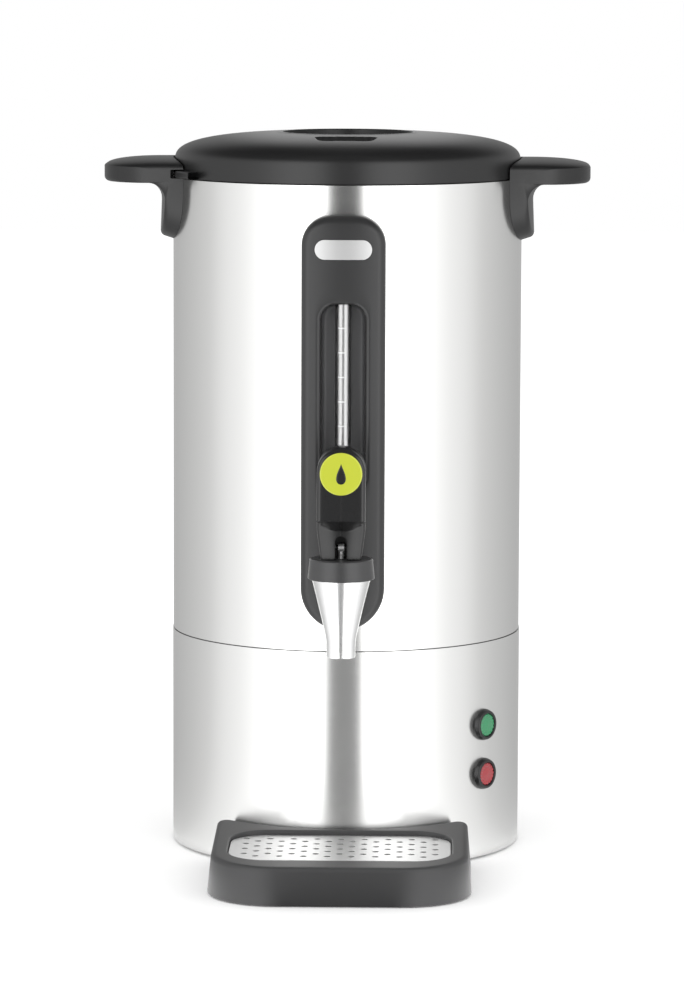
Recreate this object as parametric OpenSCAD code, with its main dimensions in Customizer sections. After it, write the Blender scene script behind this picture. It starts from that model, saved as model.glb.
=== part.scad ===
// Coffee urn: a percolator drum with a self-closing tap, a sight tube, two lamps and a drip tray.
// Every piece is worked out about the drum's axis, with the tap at the front (-Y) and the floor at z = 0.
// place() then moves the whole so that the origin is under the middle of the footprint.

/* [Drum] */
// Outside diameter of the tank
drum_d = 219; // [209:1:229]
// Thickness of the steel sheet
wall = 1; // [0.8:0.1:1.2]
// Height of the joint line between the base and the tank
joint_z = 136; // [126:1:146]
// Height of the tank from the joint line to its rim
tank_h = 285; // [270:1:310]
// Height of the seal that shows in the joint line
joint_gap = 0.6; // [0.5:0.1:1.2]
// How far the base stands proud of the tank
skirt_step = 0.4; // [0:0.1:1]
// How far the tank's neck steps in to enter the base
neck_in = 3; // [2.5:0.1:4]
// Width of the tank's turned-in rim
rim_w = 8; // [7:0.5:9]
// Depth of the rim's turned-down lip
rim_lip = 7; // [6:0.5:9]
// How far the tank floor lies under the joint line
floor_drop = 6; // [5:0.5:8]
// Radius of the pump well in the tank floor
well_r = 26; // [24:0.5:28]
// Depth of the pump well
well_depth = 10; // [8:0.5:12]

/* [Base] */
// Height of the skirt's lower edge over the floor
foot_h = 1.2; // [1:0.1:3]
// Radius of a rubber foot
foot_r = 9; // [7:0.5:11]
// How far the circle of the feet lies in from the drum
foot_in = 23.5; // [21:0.5:30]
// Width of the skirt's turned-in lower flange
skirt_flange = 9; // [7:0.5:10]
// Thickness of the base plate
base_plate_t = 2.2; // [1.8:0.1:2.6]
// Radius of the raised middle of the base plate
base_dish_r = 24; // [20:1:28]
// Rise of the middle of the base plate
base_dish_h = 5; // [4.5:0.5:7]
// Radius of the tie stud that holds the base together
stud_r = 3; // [2.5:0.1:3.5]

/* [Lid] */
// How far the lid's edge stands in from the drum
lid_in = 1; // [0.6:0.1:2]
// Height of the lid's upright edge
lid_wall_h = 9.2; // [8.6:0.2:12]
// Rise of the lid's dome over the upright edge
lid_dome_h = 18.7; // [16:0.1:22]
// Exponent of the dome's curve
lid_curve = 3; // [2.4:0.1:3.4]
// Thickness of the lid's moulding
lid_t = 2.4; // [2:0.1:3]
// Radius of the round recess in the lid
lid_recess_r = 41; // [36:1:46]
// Depth of the round recess
lid_recess_depth = 15; // [12:0.5:16]
// Rise of the rim round the recess
lid_rim_h = 0.8; // [0.5:0.1:1.2]
// Width of the grip bar in the recess
grip_w = 17; // [14:0.5:22]
// How far the grip bar stays under the recess's edge
grip_sink = 3.5; // [3:0.5:6]
// Width of the steam pocket at the front of the lid
pocket_w = 40; // [34:1:44]
// Radius from the lid's middle to the steam pocket's near edge
pocket_r0 = 56; // [54:0.5:60]
// Radius from the lid's middle to the steam pocket's far edge
pocket_r1 = 77; // [72:0.5:80]
// Radius of a steam hole
steam_hole_r = 2; // [1.5:0.1:2.5]
// Depth of the plug that enters the tank's mouth
plug_depth = 13; // [12:0.5:16]
// Height of the lid gasket
gasket_h = 3.4; // [3:0.1:4]
// Outer radius of the locking lugs, past the lid's edge
lug_out = 7.5; // [6:0.5:8]
// Thickness of the locking lugs
lug_t = 4.2; // [3.6:0.1:4.4]
// Angle that a lug spans
lug_span = 9; // [7:1:10]

/* [Handles] */
// Reach of the handles from the drum's axis
handle_reach = 152; // [148:1:165]
// Half the width of a handle
handle_hw = 42; // [38:1:44]
// Corner radius of a handle seen from above
handle_corner = 30; // [28:1:32]
// How far a handle's underside lies below the tank's rim
wing_drop = 2.6; // [1:0.1:3]
// Thickness of a handle at its edge
wing_t = 9.6; // [9:0.1:11]
// Rise of the crown on top of a handle
wing_crown = 4.4; // [2:0.2:6]
// How far the top of a handle falls towards its outer end
wing_fall = 4.4; // [3:0.2:7]
// How far the bracket stands in from the handle's ends
wing_edge = 1.5; // [1:0.1:2]
// Thickness of the bracket against the drum
bracket_t = 6.6; // [6.2:0.1:9]
// Extra thickness at the foot of the bracket
bracket_flare = 1.3; // [0:0.1:2]
// Depth of the bracket under the tank's rim
bracket_drop = 39; // [34:0.5:42]
// Slant of the bracket's lower end, upwards from the drum
bracket_slant = 18; // [0:1:25]
// Radius of the bracket's rounded lower end
bracket_round = 52; // [46:1:58]
// Radius of the fillet under a handle
handle_fillet = 10.5; // [9:0.5:13]
// Height of the bayonet slot
slot_h = 5.5; // [5.4:0.1:6]

/* [Front panel] */
// Width of the panel
panel_w = 51; // [48:0.5:56]
// Height of the panel's top over the floor
panel_top_z = 403.5; // [396:0.5:410]
// Height of the centre of the panel's round lower end
panel_end_z = 176.5; // [172:0.5:179]
// Corner radius at the panel's top
panel_corner = 18; // [16:0.5:23]
// How far the panel stands out from the drum
panel_out = 16; // [15.5:0.1:18]
// Radius of the panel's rounded front edge
panel_edge = 4.5; // [3:0.5:5]
// Wall of the panel
panel_wall = 1.6; // [1.4:0.1:2]
// Width of the sight recess
recess_w = 26.8; // [24:0.2:30]
// Height of the sight recess's top over the floor
recess_top_z = 350; // [340:1:358]
// Height of the sight recess's lower end over the floor
recess_low_z = 237; // [226:1:244]
// Corner radius of the sight recess
recess_corner = 9; // [6:0.5:11]
// Thickness of the recess's floor
recess_floor = 1.2; // [1:0.1:1.5]
// Outer radius of the sight tube
tube_r = 5; // [4.6:0.1:5.2]
// Wall of the sight tube
tube_wall = 1.3; // [1:0.1:1.6]
// Length of the badge plate
badge_w = 34.7; // [30:0.1:38]
// Height of the badge plate
badge_h = 12; // [10:0.2:14]
// Height of the badge plate's middle over the floor
badge_z = 383.3; // [378:0.1:386]
// Thickness of the badge plate
badge_t = 1.1; // [0.8:0.1:1.4]

/* [Tap] */
// Distance of the tap's axis from the drum
tap_out = 45.5; // [43:0.5:50]
// Height of the tap's shank over the floor
shank_z = 179; // [174:0.5:182]
// Outer radius of the shank
shank_r = 8; // [7.5:0.1:8.4]
// Bore radius of the shank
shank_bore = 5.4; // [4.8:0.1:5.8]
// Height of the spout's tip over the floor
spout_tip_z = 140; // [136:0.5:144]
// Height of the shaped part of the spout
spout_h = 47.6; // [46:0.2:49]
// Radius of the spout's tip
spout_tip_r = 8.7; // [8:0.1:9.5]
// Radius of the spout under the bonnet
spout_top_r = 17.7; // [17.2:0.1:18.2]
// Share of the spout's height that is straight, from its tip
spout_straight = 0.2; // [0.1:0.05:0.3]
// Exponent of the spout's curve above that
spout_curve = 1.1; // [1:0.05:1.8]
// Wall of the spout
spout_wall = 1.7; // [1.4:0.1:2]
// Height of the valve seat over the spout's tip
seat_rise = 20; // [18:0.5:22]
// Radius of the hole in the valve seat
seat_hole_r = 5; // [4.4:0.1:5.6]
// Radius of the bonnet at its foot
bonnet_r = 20.2; // [19.8:0.1:21]
// Radius of the bonnet at its top
bonnet_top_r = 19; // [18.4:0.1:19.6]
// Height of the bonnet
bonnet_h = 12.2; // [11.4:0.2:13]
// Radius of the valve stem
stem_r = 1.8; // [1.6:0.1:2]
// Radius of the lever's pin
pin_r = 1.5; // [1.2:0.1:1.6]
// Radius of the lever's two cam rounds
cam_r = 6.2; // [5.8:0.1:6.6]
// Distance of each cam round from the pin, which sets the lift
cam_out = 8; // [7:0.5:9]
// Height of the lever over its pin
lever_h = 61.5; // [58:0.5:66]
// Width of the lever at its head
lever_w = 29; // [27.5:0.1:31]
// Width of the lever at its foot
lever_foot_w = 22.6; // [22:0.2:26]
// How far the lever's lip stands out in front of the stem
lip_out = 17.5; // [16.5:0.5:20]
// Height of the lever's lip over its pin
lip_rise = 21; // [19:0.5:23]
// How far the lever's face leans back
lever_lean = 8; // [5:0.5:10]
// Distance of the lever's back from the stem
lever_back = 8; // [7:0.5:9]
// Width of the slot that the stem stands in
lever_slot = 7; // [6.6:0.1:8]
// Diameter of the round badge on the lever
lever_badge_d = 25.4; // [23:0.1:25.6]
// Thickness of the round badge
lever_badge_t = 1.6; // [1.4:0.1:2]
// Wire radius of the valve spring
wire_r = 0.5; // [0.4:0.05:0.6]
// Radius of the valve spring's coil
coil_r = 5; // [4.6:0.1:5.4]
// Turns of the valve spring
coil_turns = 6; // [5:1:7]

/* [Lamps and rear] */
// Angle of the lamps round the drum from the front
lamp_angle = 52; // [48:1:60]
// Height of the lower lamp over the floor
lamp_low_z = 53.4; // [46:0.2:58]
// Distance between the lamps
lamp_step = 30.9; // [26:0.1:36]
// Radius of a lamp's bezel
bezel_r = 9.85; // [9:0.1:11]
// How far a bezel stands out from the base
bezel_out = 4.5; // [4:0.1:6]
// Radius of a lamp's lens
lens_r = 7; // [6:0.1:7.4]
// Radius of a lamp's barrel
barrel_r = 6; // [5:0.1:6.4]
// Angle of the switch round the drum from the front
switch_angle = 150; // [140:1:156]
// Height of the inlet and the switch over the floor
rear_z = 46; // [40:1:60]
// Radius of the switch's bezel
switch_r = 11.5; // [11:0.1:13]
// Radius of the rocker
rocker_r = 7.8; // [7.2:0.1:8]
// Angle that the rocker leans to either side
rocker_tilt = 10; // [7:1:11]
// Width of the inlet's flange
inlet_w = 31; // [30:0.5:36]
// Height of the inlet's flange
inlet_h = 24; // [23:0.5:28]
// How far the inlet stands out from the base
inlet_proud = 2.5; // [2:0.1:4]

/* [Drip tray] */
// Width of the tray at its foot
tray_w = 159; // [150:1:170]
// Reach of the tray's front from the drum's axis
tray_reach = 217.5; // [210:0.5:230]
// Corner radius of the tray's rear
tray_rear_round = 8; // [6:0.5:10]
// Height of the tray's front edge
tray_front_h = 23; // [22:0.1:26]
// Height of the tray's rear edge
tray_rear_h = 27.5; // [26.5:0.1:31]
// Corner radius of the tray's front
tray_corner = 42; // [36:1:48]
// Draft of the tray's sides
tray_draft = 2; // [1:0.1:3]
// Radius of the tray's rounded top edge
tray_edge = 3; // [2:0.1:3.5]
// Width of the grid's recess
grid_w = 135; // [120:1:140]
// Distance of the grid's far edge from the drum
grid_back = 13; // [12:0.5:16]
// Depth of the grid from front to back
grid_d = 67.5; // [60:0.5:72]
// Corner radius of the grid
grid_corner = 24; // [16:1:28]
// Thickness of the grid plate
grid_t = 1; // [0.8:0.1:1.4]
// Height of the grid's top over the floor
grid_z = 23.2; // [22.4:0.1:24]
// Width of the ledge under the grid
ledge_w = 4; // [3:0.5:5]
// Thickness of the tray's floor
tray_floor = 2.5; // [2:0.1:3]
// Radius of a hole in the grid
grid_hole_r = 2; // [1.5:0.1:2.2]
// Spacing of the grid's hole columns
grid_step_x = 7.2; // [6.4:0.1:9]
// Spacing of the grid's hole rows
grid_step_y = 7.5; // [6.4:0.1:9]

/* [Pump and basket] */
// Outer radius of the pump tube
pump_r = 6; // [5.5:0.1:6.5]
// Wall of the pump tube
pump_wall = 1; // [0.8:0.1:1.4]
// Height of the pump tube's top under the tank's rim
pump_top_drop = 32; // [28:1:40]
// Radius of the filter basket
basket_r = 84; // [76:1:90]
// Depth of the filter basket
basket_h = 70; // [60:1:80]
// Height of the basket's rim under the tank's rim
basket_drop = 48; // [44:1:60]
// Radius of a hole in the basket's floor
basket_hole_r = 1.6; // [1.2:0.1:2]

/* [Clearances] */
// Gap between pieces that move past each other
run_gap = 0.3; // [0.25:0.05:0.4]
// Gap between pieces that are fitted together
fit_gap = 0.15; // [0.1:0.05:0.2]

/* [Hidden] */
$fn = 96;
// Thickness of the thin slices that a blended form is drawn through
slice = 0.1;
// Facets of the rounds inside a blended form
blend_fn = 32;
// Overrun of a cut past the face that it opens
cut = 1;

drum_r = drum_d / 2;
skirt_r = drum_r + skirt_step;
neck_r = drum_r - neck_in;
mouth_r = drum_r - rim_w;
seam_low = joint_z - joint_gap / 2;
seam_high = joint_z + joint_gap / 2;
floor_z = joint_z - floor_drop;
well_z = floor_z - well_depth;
rim_z = joint_z + tank_h;

base_plate_z = foot_h + wall;
base_plate_top = base_plate_z + base_plate_t;
base_plate_r = skirt_r - wall - run_gap;
dish_z = base_plate_z + base_dish_h;
foot_ring_r = drum_r - foot_in;
foot_stem_r = 3;
foot_head_h = 2.5;
nut_h = 3;

// Radius of the heating rings' tube
element_r = 3;
heater_plate_r = drum_r - 45.5;
heater_plate_t = 4;
heater_plate_low = floor_z - wall - heater_plate_t;
// Room between the pump well and the heater plate, for the boiling ring
ring_room = 2 * element_r + 1;
// Circle of the two thermal switches under the tank floor
switch_ring_r = drum_r - 25.5;
terminal_y = drum_r - 47.5;

inlet_body_w = inlet_w - 4;
inlet_body_h = inlet_h - 4;
inlet_round = 3;
inlet_depth = 20;
socket_w = inlet_body_w - 3.4;
socket_h = inlet_body_h - 3.6;
socket_depth = 16;

switch_barrel_r = switch_r - 1.7;
switch_cup_r = rocker_r + 0.9;
switch_cup_floor = -7;
rocker_pivot = -1.5;
rocker_low = -4;
rocker_high = 2.2;
lamp_cup_floor = 0.8;
lens_sink = 0.5;
trunnion_r = 1.4;
// How far a trunnion enters the rocker
trunnion_in = 0.6;

lid_r = drum_r - lid_in;
lid_z = rim_z + run_gap;
lid_shoulder_z = lid_z + lid_wall_h;
lid_top = lid_shoulder_z + lid_dome_h;
recess_edge_z = lid_dome(lid_recess_r);
recess_floor_z = recess_edge_z - lid_recess_depth;
plug_r = mouth_r - 1;
plug_low = lid_z - plug_depth;
gasket_groove = 1.2;
gasket_z = rim_z - rim_lip / 2 - gasket_h / 2;
liner_t = 1.5;
liner_low = plug_low + 1;
lid_post_ring = 30;
lid_post_r = 5;
lid_screw_r = 1.7;
lid_screw_l = 11;
lid_rim_w = 4;
// Steps of the lid's curve
lid_steps = 20;
lug_r = lid_r + lug_out;
slot_r = lug_r + 3 * run_gap;
wing_z = rim_z - wing_drop;
wing_edge_z = wing_z + wing_t;
slot_z = wing_z + 2.9;
lug_z = slot_z + (slot_h - lug_t) / 2;
// Angle from a handle's middle to the lug before the lid is turned
lug_start = asin(handle_hw / (lid_r + run_gap)) + 1.5;
// Turn of the lid from set down to locked
lid_turn = 19;

grip_r = drum_r + run_gap;
bracket_low = rim_z - bracket_drop;
handle_screw_z = rim_z - 21;
handle_screw_a = 9;
handle_screw_r = 2;
handle_screw_in = 5;
screw_head_r = 4.5;
screw_head_h = 2.8;

panel_r = drum_r + panel_out;
panel_back_r = drum_r + run_gap;
recess_y = panel_back_r + recess_floor;
tube_y = recess_y + fit_gap + tube_r;
tube_seat_z = recess_top_z + 7;
tube_low_z = shank_z + shank_r + 2;
tee_r = tube_r + 1.6;
tee_top_z = tube_low_z + 12;
seal_t = 0.3;
badge_proud = 0.4;

tap_y = drum_r + tap_out;
shank_in = drum_r - 14;
spout_top_z = spout_tip_z + spout_h;
seat_z = spout_tip_z + seat_rise;
seat_t = 3;
neck_top_z = spout_top_z + 6.5;
spout_neck_r = spout_top_r - 0.7;
bonnet_z = spout_top_z + fit_gap;
bonnet_top = bonnet_z + bonnet_h;
bonnet_deck = 4.6;
pin_z = bonnet_top + run_gap + cam_r;
lip_z = pin_z + lip_rise;
// Thickness of the lever's lip at its edge
lip_t = 2.6;
lever_top = pin_z + lever_h;
lever_round = lever_w / 2;
// Height at which the lever reaches its full width
lever_taper_z = lip_z - 8;
lever_badge_z = lever_top - lever_round - 1;
seat_cup_r = 7.2;
seat_cup_h = 8;
seat_cup_z = seat_z + run_gap;
spring_low = seat_cup_z + seat_cup_h + fit_gap + wire_r;
spring_high = bonnet_top - bonnet_deck - fit_gap - wire_r;
collar_r = shank_r + 5;
collar_t = 3.5;
washer_out = 2.2;
washer_in = 3;
washer_r = shank_r + 5;
shank_nut_h = 7;

tray_gap = run_gap + 0.1;
// Distance of the rear corners' centres from the drum's axis, a shade short of touching the tray's rear arc
tray_rear_y = sqrt(pow(skirt_r + tray_gap + tray_rear_round - 0.2, 2) - pow(tray_w / 2 - tray_rear_round, 2));
grid_back_y = drum_r + grid_back;
// Middle of the grid, from the drum's axis
grid_y = grid_back_y + grid_d / 2;
grid_low = grid_z - grid_t;
rear_reach = skirt_r + inlet_proud;
// Distance from the origin to the drum's axis
axis_y = (tray_reach - rear_reach) / 2;

pump_foot_r = well_r - 2;
pump_foot_h = 6;
pump_top_z = rim_z - pump_top_drop;
basket_top_z = rim_z - basket_drop;
basket_low_z = basket_top_z - basket_h;
basket_t = 1;
sleeve_r = pump_r + run_gap + 1.2;

// Height of the lid's outer skin at radius r
function lid_dome(r) = lid_shoulder_z
    + lid_dome_h * pow(max(0, 1 - pow(r / lid_r, lid_curve)), 1 / lid_curve);

// Height of the lid's inner skin at radius r
function lid_under(r) = lid_shoulder_z
    + (lid_dome_h - lid_t) * pow(max(0, 1 - pow(r / (lid_r - lid_t), lid_curve)), 1 / lid_curve);

// Outer radius of the spout at a share s of its height
function spout_radius(s) = spout_tip_r
    + (spout_top_r - spout_tip_r) * pow(max(0, s - spout_straight) / (1 - spout_straight), spout_curve);

// Radii from r0 to r1 that crowd towards r1, for a curve that turns steeply there
function crowd(r0, r1, n) = [for (i = [0:n]) r0 + (r1 - r0) * sin(90 * i / n)];

// Moves a piece from the drum's axis to the part's frame
module place() {
    translate([0, axis_y, 0]) children();
}

// Draws children outwards from the drum's axis: their x runs round, y runs up and z runs outwards
module outward(angle, z) {
    rotate([0, 0, angle]) translate([0, 0, z]) rotate([90, 0, 0]) children();
}

// Moves children to the tap's upright axis
module at_tap() {
    translate([0, -tap_y, 0]) children();
}

// Upright cylinder about the drum's axis
module drum_cylinder(r, z0, z1) {
    translate([0, 0, z0]) cylinder(r = r, h = z1 - z0);
}

// Upright tube
module pipe(r, bore, h) {
    difference() {
        cylinder(r = r, h = h);
        translate([0, 0, -cut]) cylinder(r = bore, h = h + 2 * cut);
    }
}

// Flat plate with rounded corners, drawn about its middle
module rounded_plate(w, d, r) {
    square([w - 2 * r, d], center = true);
    square([w, d - 2 * r], center = true);
    for (sx = [-1, 1], sy = [-1, 1]) translate([sx * (w / 2 - r), sy * (d / 2 - r)]) circle(r = r);
}

// Holes for the tap, the panel's screw and the handles' screws, from the inside out
module drum_holes() {
    outward(0, shank_z) cylinder(r = shank_r + fit_gap, h = drum_r + cut);
    outward(0, badge_z) cylinder(r = handle_screw_r + fit_gap, h = drum_r + cut);
    for (side = [90, 270], a = [-handle_screw_a, handle_screw_a]) {
        outward(side + a, handle_screw_z) cylinder(r = handle_screw_r + fit_gap, h = drum_r + cut);
    }
}

// Upper drum: wall, turned-in rim with a lip, stepped neck, floor and pump well in one sheet
module tank() {
    color("gainsboro") place() difference() {
        rotate_extrude() polygon([
            [0, well_z - wall], [well_r + wall, well_z - wall], [well_r + wall, floor_z - wall],
            [neck_r, floor_z - wall], [neck_r, seam_high], [drum_r, seam_high], [drum_r, rim_z],
            [mouth_r, rim_z], [mouth_r, rim_z - rim_lip], [mouth_r + wall, rim_z - rim_lip],
            [mouth_r + wall, rim_z - wall], [drum_r - wall, rim_z - wall],
            [drum_r - wall, seam_high + wall], [neck_r - wall, seam_high + wall],
            [neck_r - wall, floor_z], [well_r, floor_z], [well_r, well_z], [0, well_z]]);
        drum_holes();
    }
}

// Lower drum with flanges turned in at both ends, cut for the lamps, the switch and the inlet
module base_skirt() {
    color("silver") place() difference() {
        rotate_extrude() polygon([
            [skirt_r - skirt_flange, foot_h], [skirt_r, foot_h], [skirt_r, seam_low],
            [neck_r + fit_gap, seam_low], [neck_r + fit_gap, seam_low - wall],
            [skirt_r - wall, seam_low - wall], [skirt_r - wall, foot_h + wall],
            [skirt_r - skirt_flange, foot_h + wall]]);
        for (z = [lamp_low_z, lamp_low_z + lamp_step]) {
            outward(lamp_angle, z) cylinder(r = barrel_r + fit_gap, h = skirt_r + cut);
        }
        outward(switch_angle, rear_z) cylinder(r = switch_barrel_r + fit_gap, h = skirt_r + cut);
        outward(180, rear_z) linear_extrude(skirt_r + cut)
            rounded_plate(inlet_body_w + 2 * fit_gap, inlet_body_h + 2 * fit_gap, inlet_round);
    }
}

// Dark seal that shows as the joint line
module joint_ring() {
    color("black") place() rotate_extrude() translate([neck_r + fit_gap, seam_low])
        square([neck_in - 2 * fit_gap - 0.9, joint_gap]);
}

// Closing plate with a raised middle, feet holes and two rings of air slots
module base_plate() {
    slots = 8;
    slot_in = 40;
    slot_out = 62;
    slot_w = 4;
    color("dimgray") place() difference() {
        rotate_extrude() polygon([
            [0, dish_z], [base_dish_r, dish_z], [base_dish_r + base_dish_h, base_plate_z],
            [base_plate_r, base_plate_z], [base_plate_r, base_plate_top],
            [base_dish_r + base_dish_h + base_plate_t, base_plate_top],
            [base_dish_r + base_plate_t, dish_z + base_plate_t], [0, dish_z + base_plate_t]]);
        translate([0, 0, dish_z - cut]) cylinder(r = stud_r + fit_gap, h = base_plate_t + 2 * cut);
        for (i = [0:3]) {
            rotate([0, 0, 45 + 90 * i]) translate([foot_ring_r, 0, base_plate_z - cut])
                cylinder(r = foot_stem_r, h = base_plate_t + 2 * cut);
        }
        for (i = [0:slots - 1]) {
            rotate([0, 0, 360 / slots * (i + 0.5)]) translate([slot_in, -slot_w / 2, base_plate_z - cut])
                cube([slot_out - slot_in, slot_w, base_plate_t + 2 * cut]);
        }
    }
}

// Push-in rubber feet, each with a stem and a mushroom head over the base plate
module feet() {
    foot_draft = 0.8;
    color("#202020") place() for (i = [0:3]) {
        rotate([0, 0, 45 + 90 * i]) translate([foot_ring_r, 0, 0]) rotate_extrude() polygon([
            [0, 0], [foot_r - foot_draft, 0], [foot_r, base_plate_z], [foot_stem_r, base_plate_z],
            [foot_stem_r, base_plate_top], [foot_stem_r + 2, base_plate_top],
            [foot_stem_r - 1, base_plate_top + foot_head_h], [0, base_plate_top + foot_head_h]]);
    }
}

// Stud welded under the pump well, which ties the base plate to the tank
module tie_stud() {
    low = dish_z - nut_h;
    color("silver") place() drum_cylinder(stud_r, low, well_z - wall);
}

// Hex nut on the tie stud, in the raised middle of the base plate
module tie_nut() {
    color("gray") place() translate([0, 0, dish_z - nut_h]) difference() {
        cylinder(r = 2 * stud_r, h = nut_h, $fn = 6);
        translate([0, 0, -cut]) cylinder(r = stud_r, h = nut_h + 2 * cut);
    }
}

// Tubular heating ring with two cold ends that turn down
module heating_ring(ring_r, z, leg_a, leg_h) {
    leg_r = 2.2;
    rotate_extrude() translate([ring_r, z]) circle(r = element_r, $fn = 48);
    for (a = [-leg_a, leg_a]) {
        rotate([0, 0, 90 + a]) translate([ring_r, 0, z - element_r - leg_h])
            cylinder(r = leg_r, h = element_r + leg_h);
    }
}

// Boiling ring round the pump well
module boil_element() {
    leg_a = 12;
    leg_h = 14;
    color("dimgray") place()
        heating_ring(well_r + wall + element_r + fit_gap, well_z + element_r, leg_a, leg_h);
}

// Keep-warm ring under the heater plate
module warm_element() {
    leg_a = 8;
    leg_h = 12;
    color("dimgray") place()
        heating_ring(heater_plate_r - 4 * element_r, heater_plate_low - element_r - fit_gap, leg_a, leg_h);
}

// Aluminium plate that spreads the keep-warm heat under the tank floor
module heater_plate() {
    color("lightgray") place() translate([0, 0, heater_plate_low])
        pipe(heater_plate_r, well_r + wall + ring_room, heater_plate_t);
}

// Round bimetal switch body with two tabs, held under the tank floor
module disc_switch(body_h) {
    top = floor_z - wall;
    flange_r = 11.5;
    flange_t = 2;
    body_r = 8.5;
    tab_x = 5;
    tab = [0.8, 6.3, 8];
    translate([0, 0, top - flange_t]) cylinder(r = flange_r, h = flange_t);
    translate([0, 0, top - body_h]) cylinder(r = body_r, h = body_h);
    for (s = [-1, 1]) {
        translate([s * tab_x - tab[0] / 2, -tab[1] / 2, top - body_h - tab[2]])
            cube([tab[0], tab[1], tab[2] + cut]);
    }
}

// Working thermostat
module thermostat() {
    color("tan") place() translate([switch_ring_r, 0, 0]) disc_switch(9);
}

// Cut-out that trips when the tank boils dry
module thermal_cutout() {
    color("wheat") place() translate([-switch_ring_r, 0, 0]) disc_switch(12);
}

// Terminal block on the base plate
module terminal_block() {
    ways = 4;
    way_w = 9;
    block_d = 18;
    block_h = 15;
    wire_hole_r = 2;
    screw_hole_r = 2.2;
    color("ivory") place() translate([-ways * way_w / 2, terminal_y, base_plate_top]) difference() {
        cube([ways * way_w, block_d, block_h]);
        for (i = [0:ways - 1]) {
            translate([(i + 0.5) * way_w, -cut, block_h / 3]) rotate([-90, 0, 0])
                cylinder(r = wire_hole_r, h = block_d + 2 * cut);
            translate([(i + 0.5) * way_w, block_d / 2, block_h / 2]) cylinder(r = screw_hole_r, h = block_h);
        }
    }
}

// Appliance inlet: a flange that follows the base, a body through it and an open socket
module power_inlet() {
    socket_round = 3;
    color("#1c1c1c") place() difference() {
        union() {
            difference() {
                outward(180, rear_z) translate([0, 0, skirt_r - 2])
                    linear_extrude(2 + inlet_proud) rounded_plate(inlet_w, inlet_h, inlet_round);
                drum_cylinder(skirt_r + fit_gap, rear_z - inlet_h, rear_z + inlet_h);
            }
            outward(180, rear_z) translate([0, 0, skirt_r - inlet_depth])
                linear_extrude(inlet_depth + inlet_proud / 2)
                    rounded_plate(inlet_body_w, inlet_body_h, inlet_round);
        }
        outward(180, rear_z) translate([0, 0, skirt_r + inlet_proud - socket_depth])
            linear_extrude(socket_depth + cut) rounded_plate(socket_w, socket_h, socket_round);
    }
}

// Three flat pins in the inlet's socket
module inlet_pins() {
    pin_l = socket_depth - 2.5;
    pin_w = 2;
    pin_d = 4;
    color("silver") place() outward(180, rear_z) translate([0, 0, skirt_r + inlet_proud - socket_depth]) {
        for (p = [[-7, -2], [0, 2], [7, -2]]) {
            translate([p[0] - pin_w / 2, p[1] - pin_d / 2, 0]) cube([pin_w, pin_d, pin_l]);
        }
    }
}

// Round switch housing: a bezel that follows the base, a barrel behind it and a cup for the rocker
module switch_body() {
    barrel_l = 20;
    bezel_h = 2.2;
    bezel_edge = 1;
    bezel_back = 2;
    root = 0.2;
    color("#1c1c1c") place() {
        difference() {
            union() {
                difference() {
                    outward(switch_angle, rear_z) translate([0, 0, skirt_r]) rotate_extrude() polygon([
                        [0, -bezel_back], [switch_r, -bezel_back], [switch_r, bezel_h - bezel_edge],
                        [switch_r - bezel_edge, bezel_h], [0, bezel_h]]);
                    drum_cylinder(skirt_r + fit_gap, rear_z - 2 * switch_r, rear_z + 2 * switch_r);
                }
                outward(switch_angle, rear_z) translate([0, 0, skirt_r - barrel_l])
                    cylinder(r = switch_barrel_r, h = barrel_l + 1);
            }
            outward(switch_angle, rear_z) translate([0, 0, skirt_r + switch_cup_floor])
                cylinder(r = switch_cup_r, h = barrel_l);
        }
        outward(switch_angle, rear_z) for (s = [-1, 1]) {
            translate([s * (switch_cup_r + root), 0, skirt_r + rocker_pivot]) rotate([0, -90 * s, 0])
                cylinder(r = trunnion_r, h = root + switch_cup_r - rocker_r + trunnion_in);
        }
    }
}

// Rocker with a dished face, shown leaning to its off side
module power_rocker() {
    dish = rocker_r * tan(rocker_tilt);
    socket_r = trunnion_r + fit_gap;
    socket_in = 2 * trunnion_in;
    blank_h = 20;
    color("#303030") place() outward(switch_angle, rear_z) translate([0, 0, skirt_r + rocker_pivot])
        rotate([-rocker_tilt, 0, 0]) translate([0, 0, -rocker_pivot]) difference() {
            intersection() {
                translate([0, 0, rocker_low]) cylinder(r = rocker_r, h = blank_h);
                rotate([90, 0, 90]) translate([0, 0, -rocker_r - cut]) linear_extrude(2 * rocker_r + 2 * cut)
                    polygon([
                        [-rocker_r, rocker_low], [rocker_r, rocker_low], [rocker_r, rocker_high + dish],
                        [0, rocker_high], [-rocker_r, rocker_high + dish]]);
            }
            for (s = [-1, 1]) {
                translate([s * (rocker_r + cut), 0, rocker_pivot]) rotate([0, -90 * s, 0])
                    cylinder(r = socket_r, h = cut + socket_in);
            }
        }
}

// Lamp housing: a domed bezel that follows the base, with a barrel through it
module lamp_bezel(z) {
    barrel_l = 16;
    back = 1.5;
    root = 0.2;
    color("#161616") place() {
        difference() {
            outward(lamp_angle, z) translate([0, 0, skirt_r]) rotate_extrude() polygon([
                [0, -back], [bezel_r, -back], [bezel_r, bezel_out * 0.35], [bezel_r - 0.5, bezel_out * 0.7],
                [bezel_r - 1.5, bezel_out * 0.95], [lens_r + 0.6, bezel_out],
                [lens_r + fit_gap, bezel_out - lens_sink],
                [lens_r + fit_gap, lamp_cup_floor], [0, lamp_cup_floor]]);
            drum_cylinder(skirt_r + fit_gap, z - 2 * bezel_r, z + 2 * bezel_r);
        }
        outward(lamp_angle, z) translate([0, 0, skirt_r - barrel_l])
            cylinder(r = barrel_r, h = barrel_l + lamp_cup_floor - root);
    }
}

module lamp_bezel_upper() {
    lamp_bezel(lamp_low_z + lamp_step);
}

module lamp_bezel_lower() {
    lamp_bezel(lamp_low_z);
}

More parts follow.
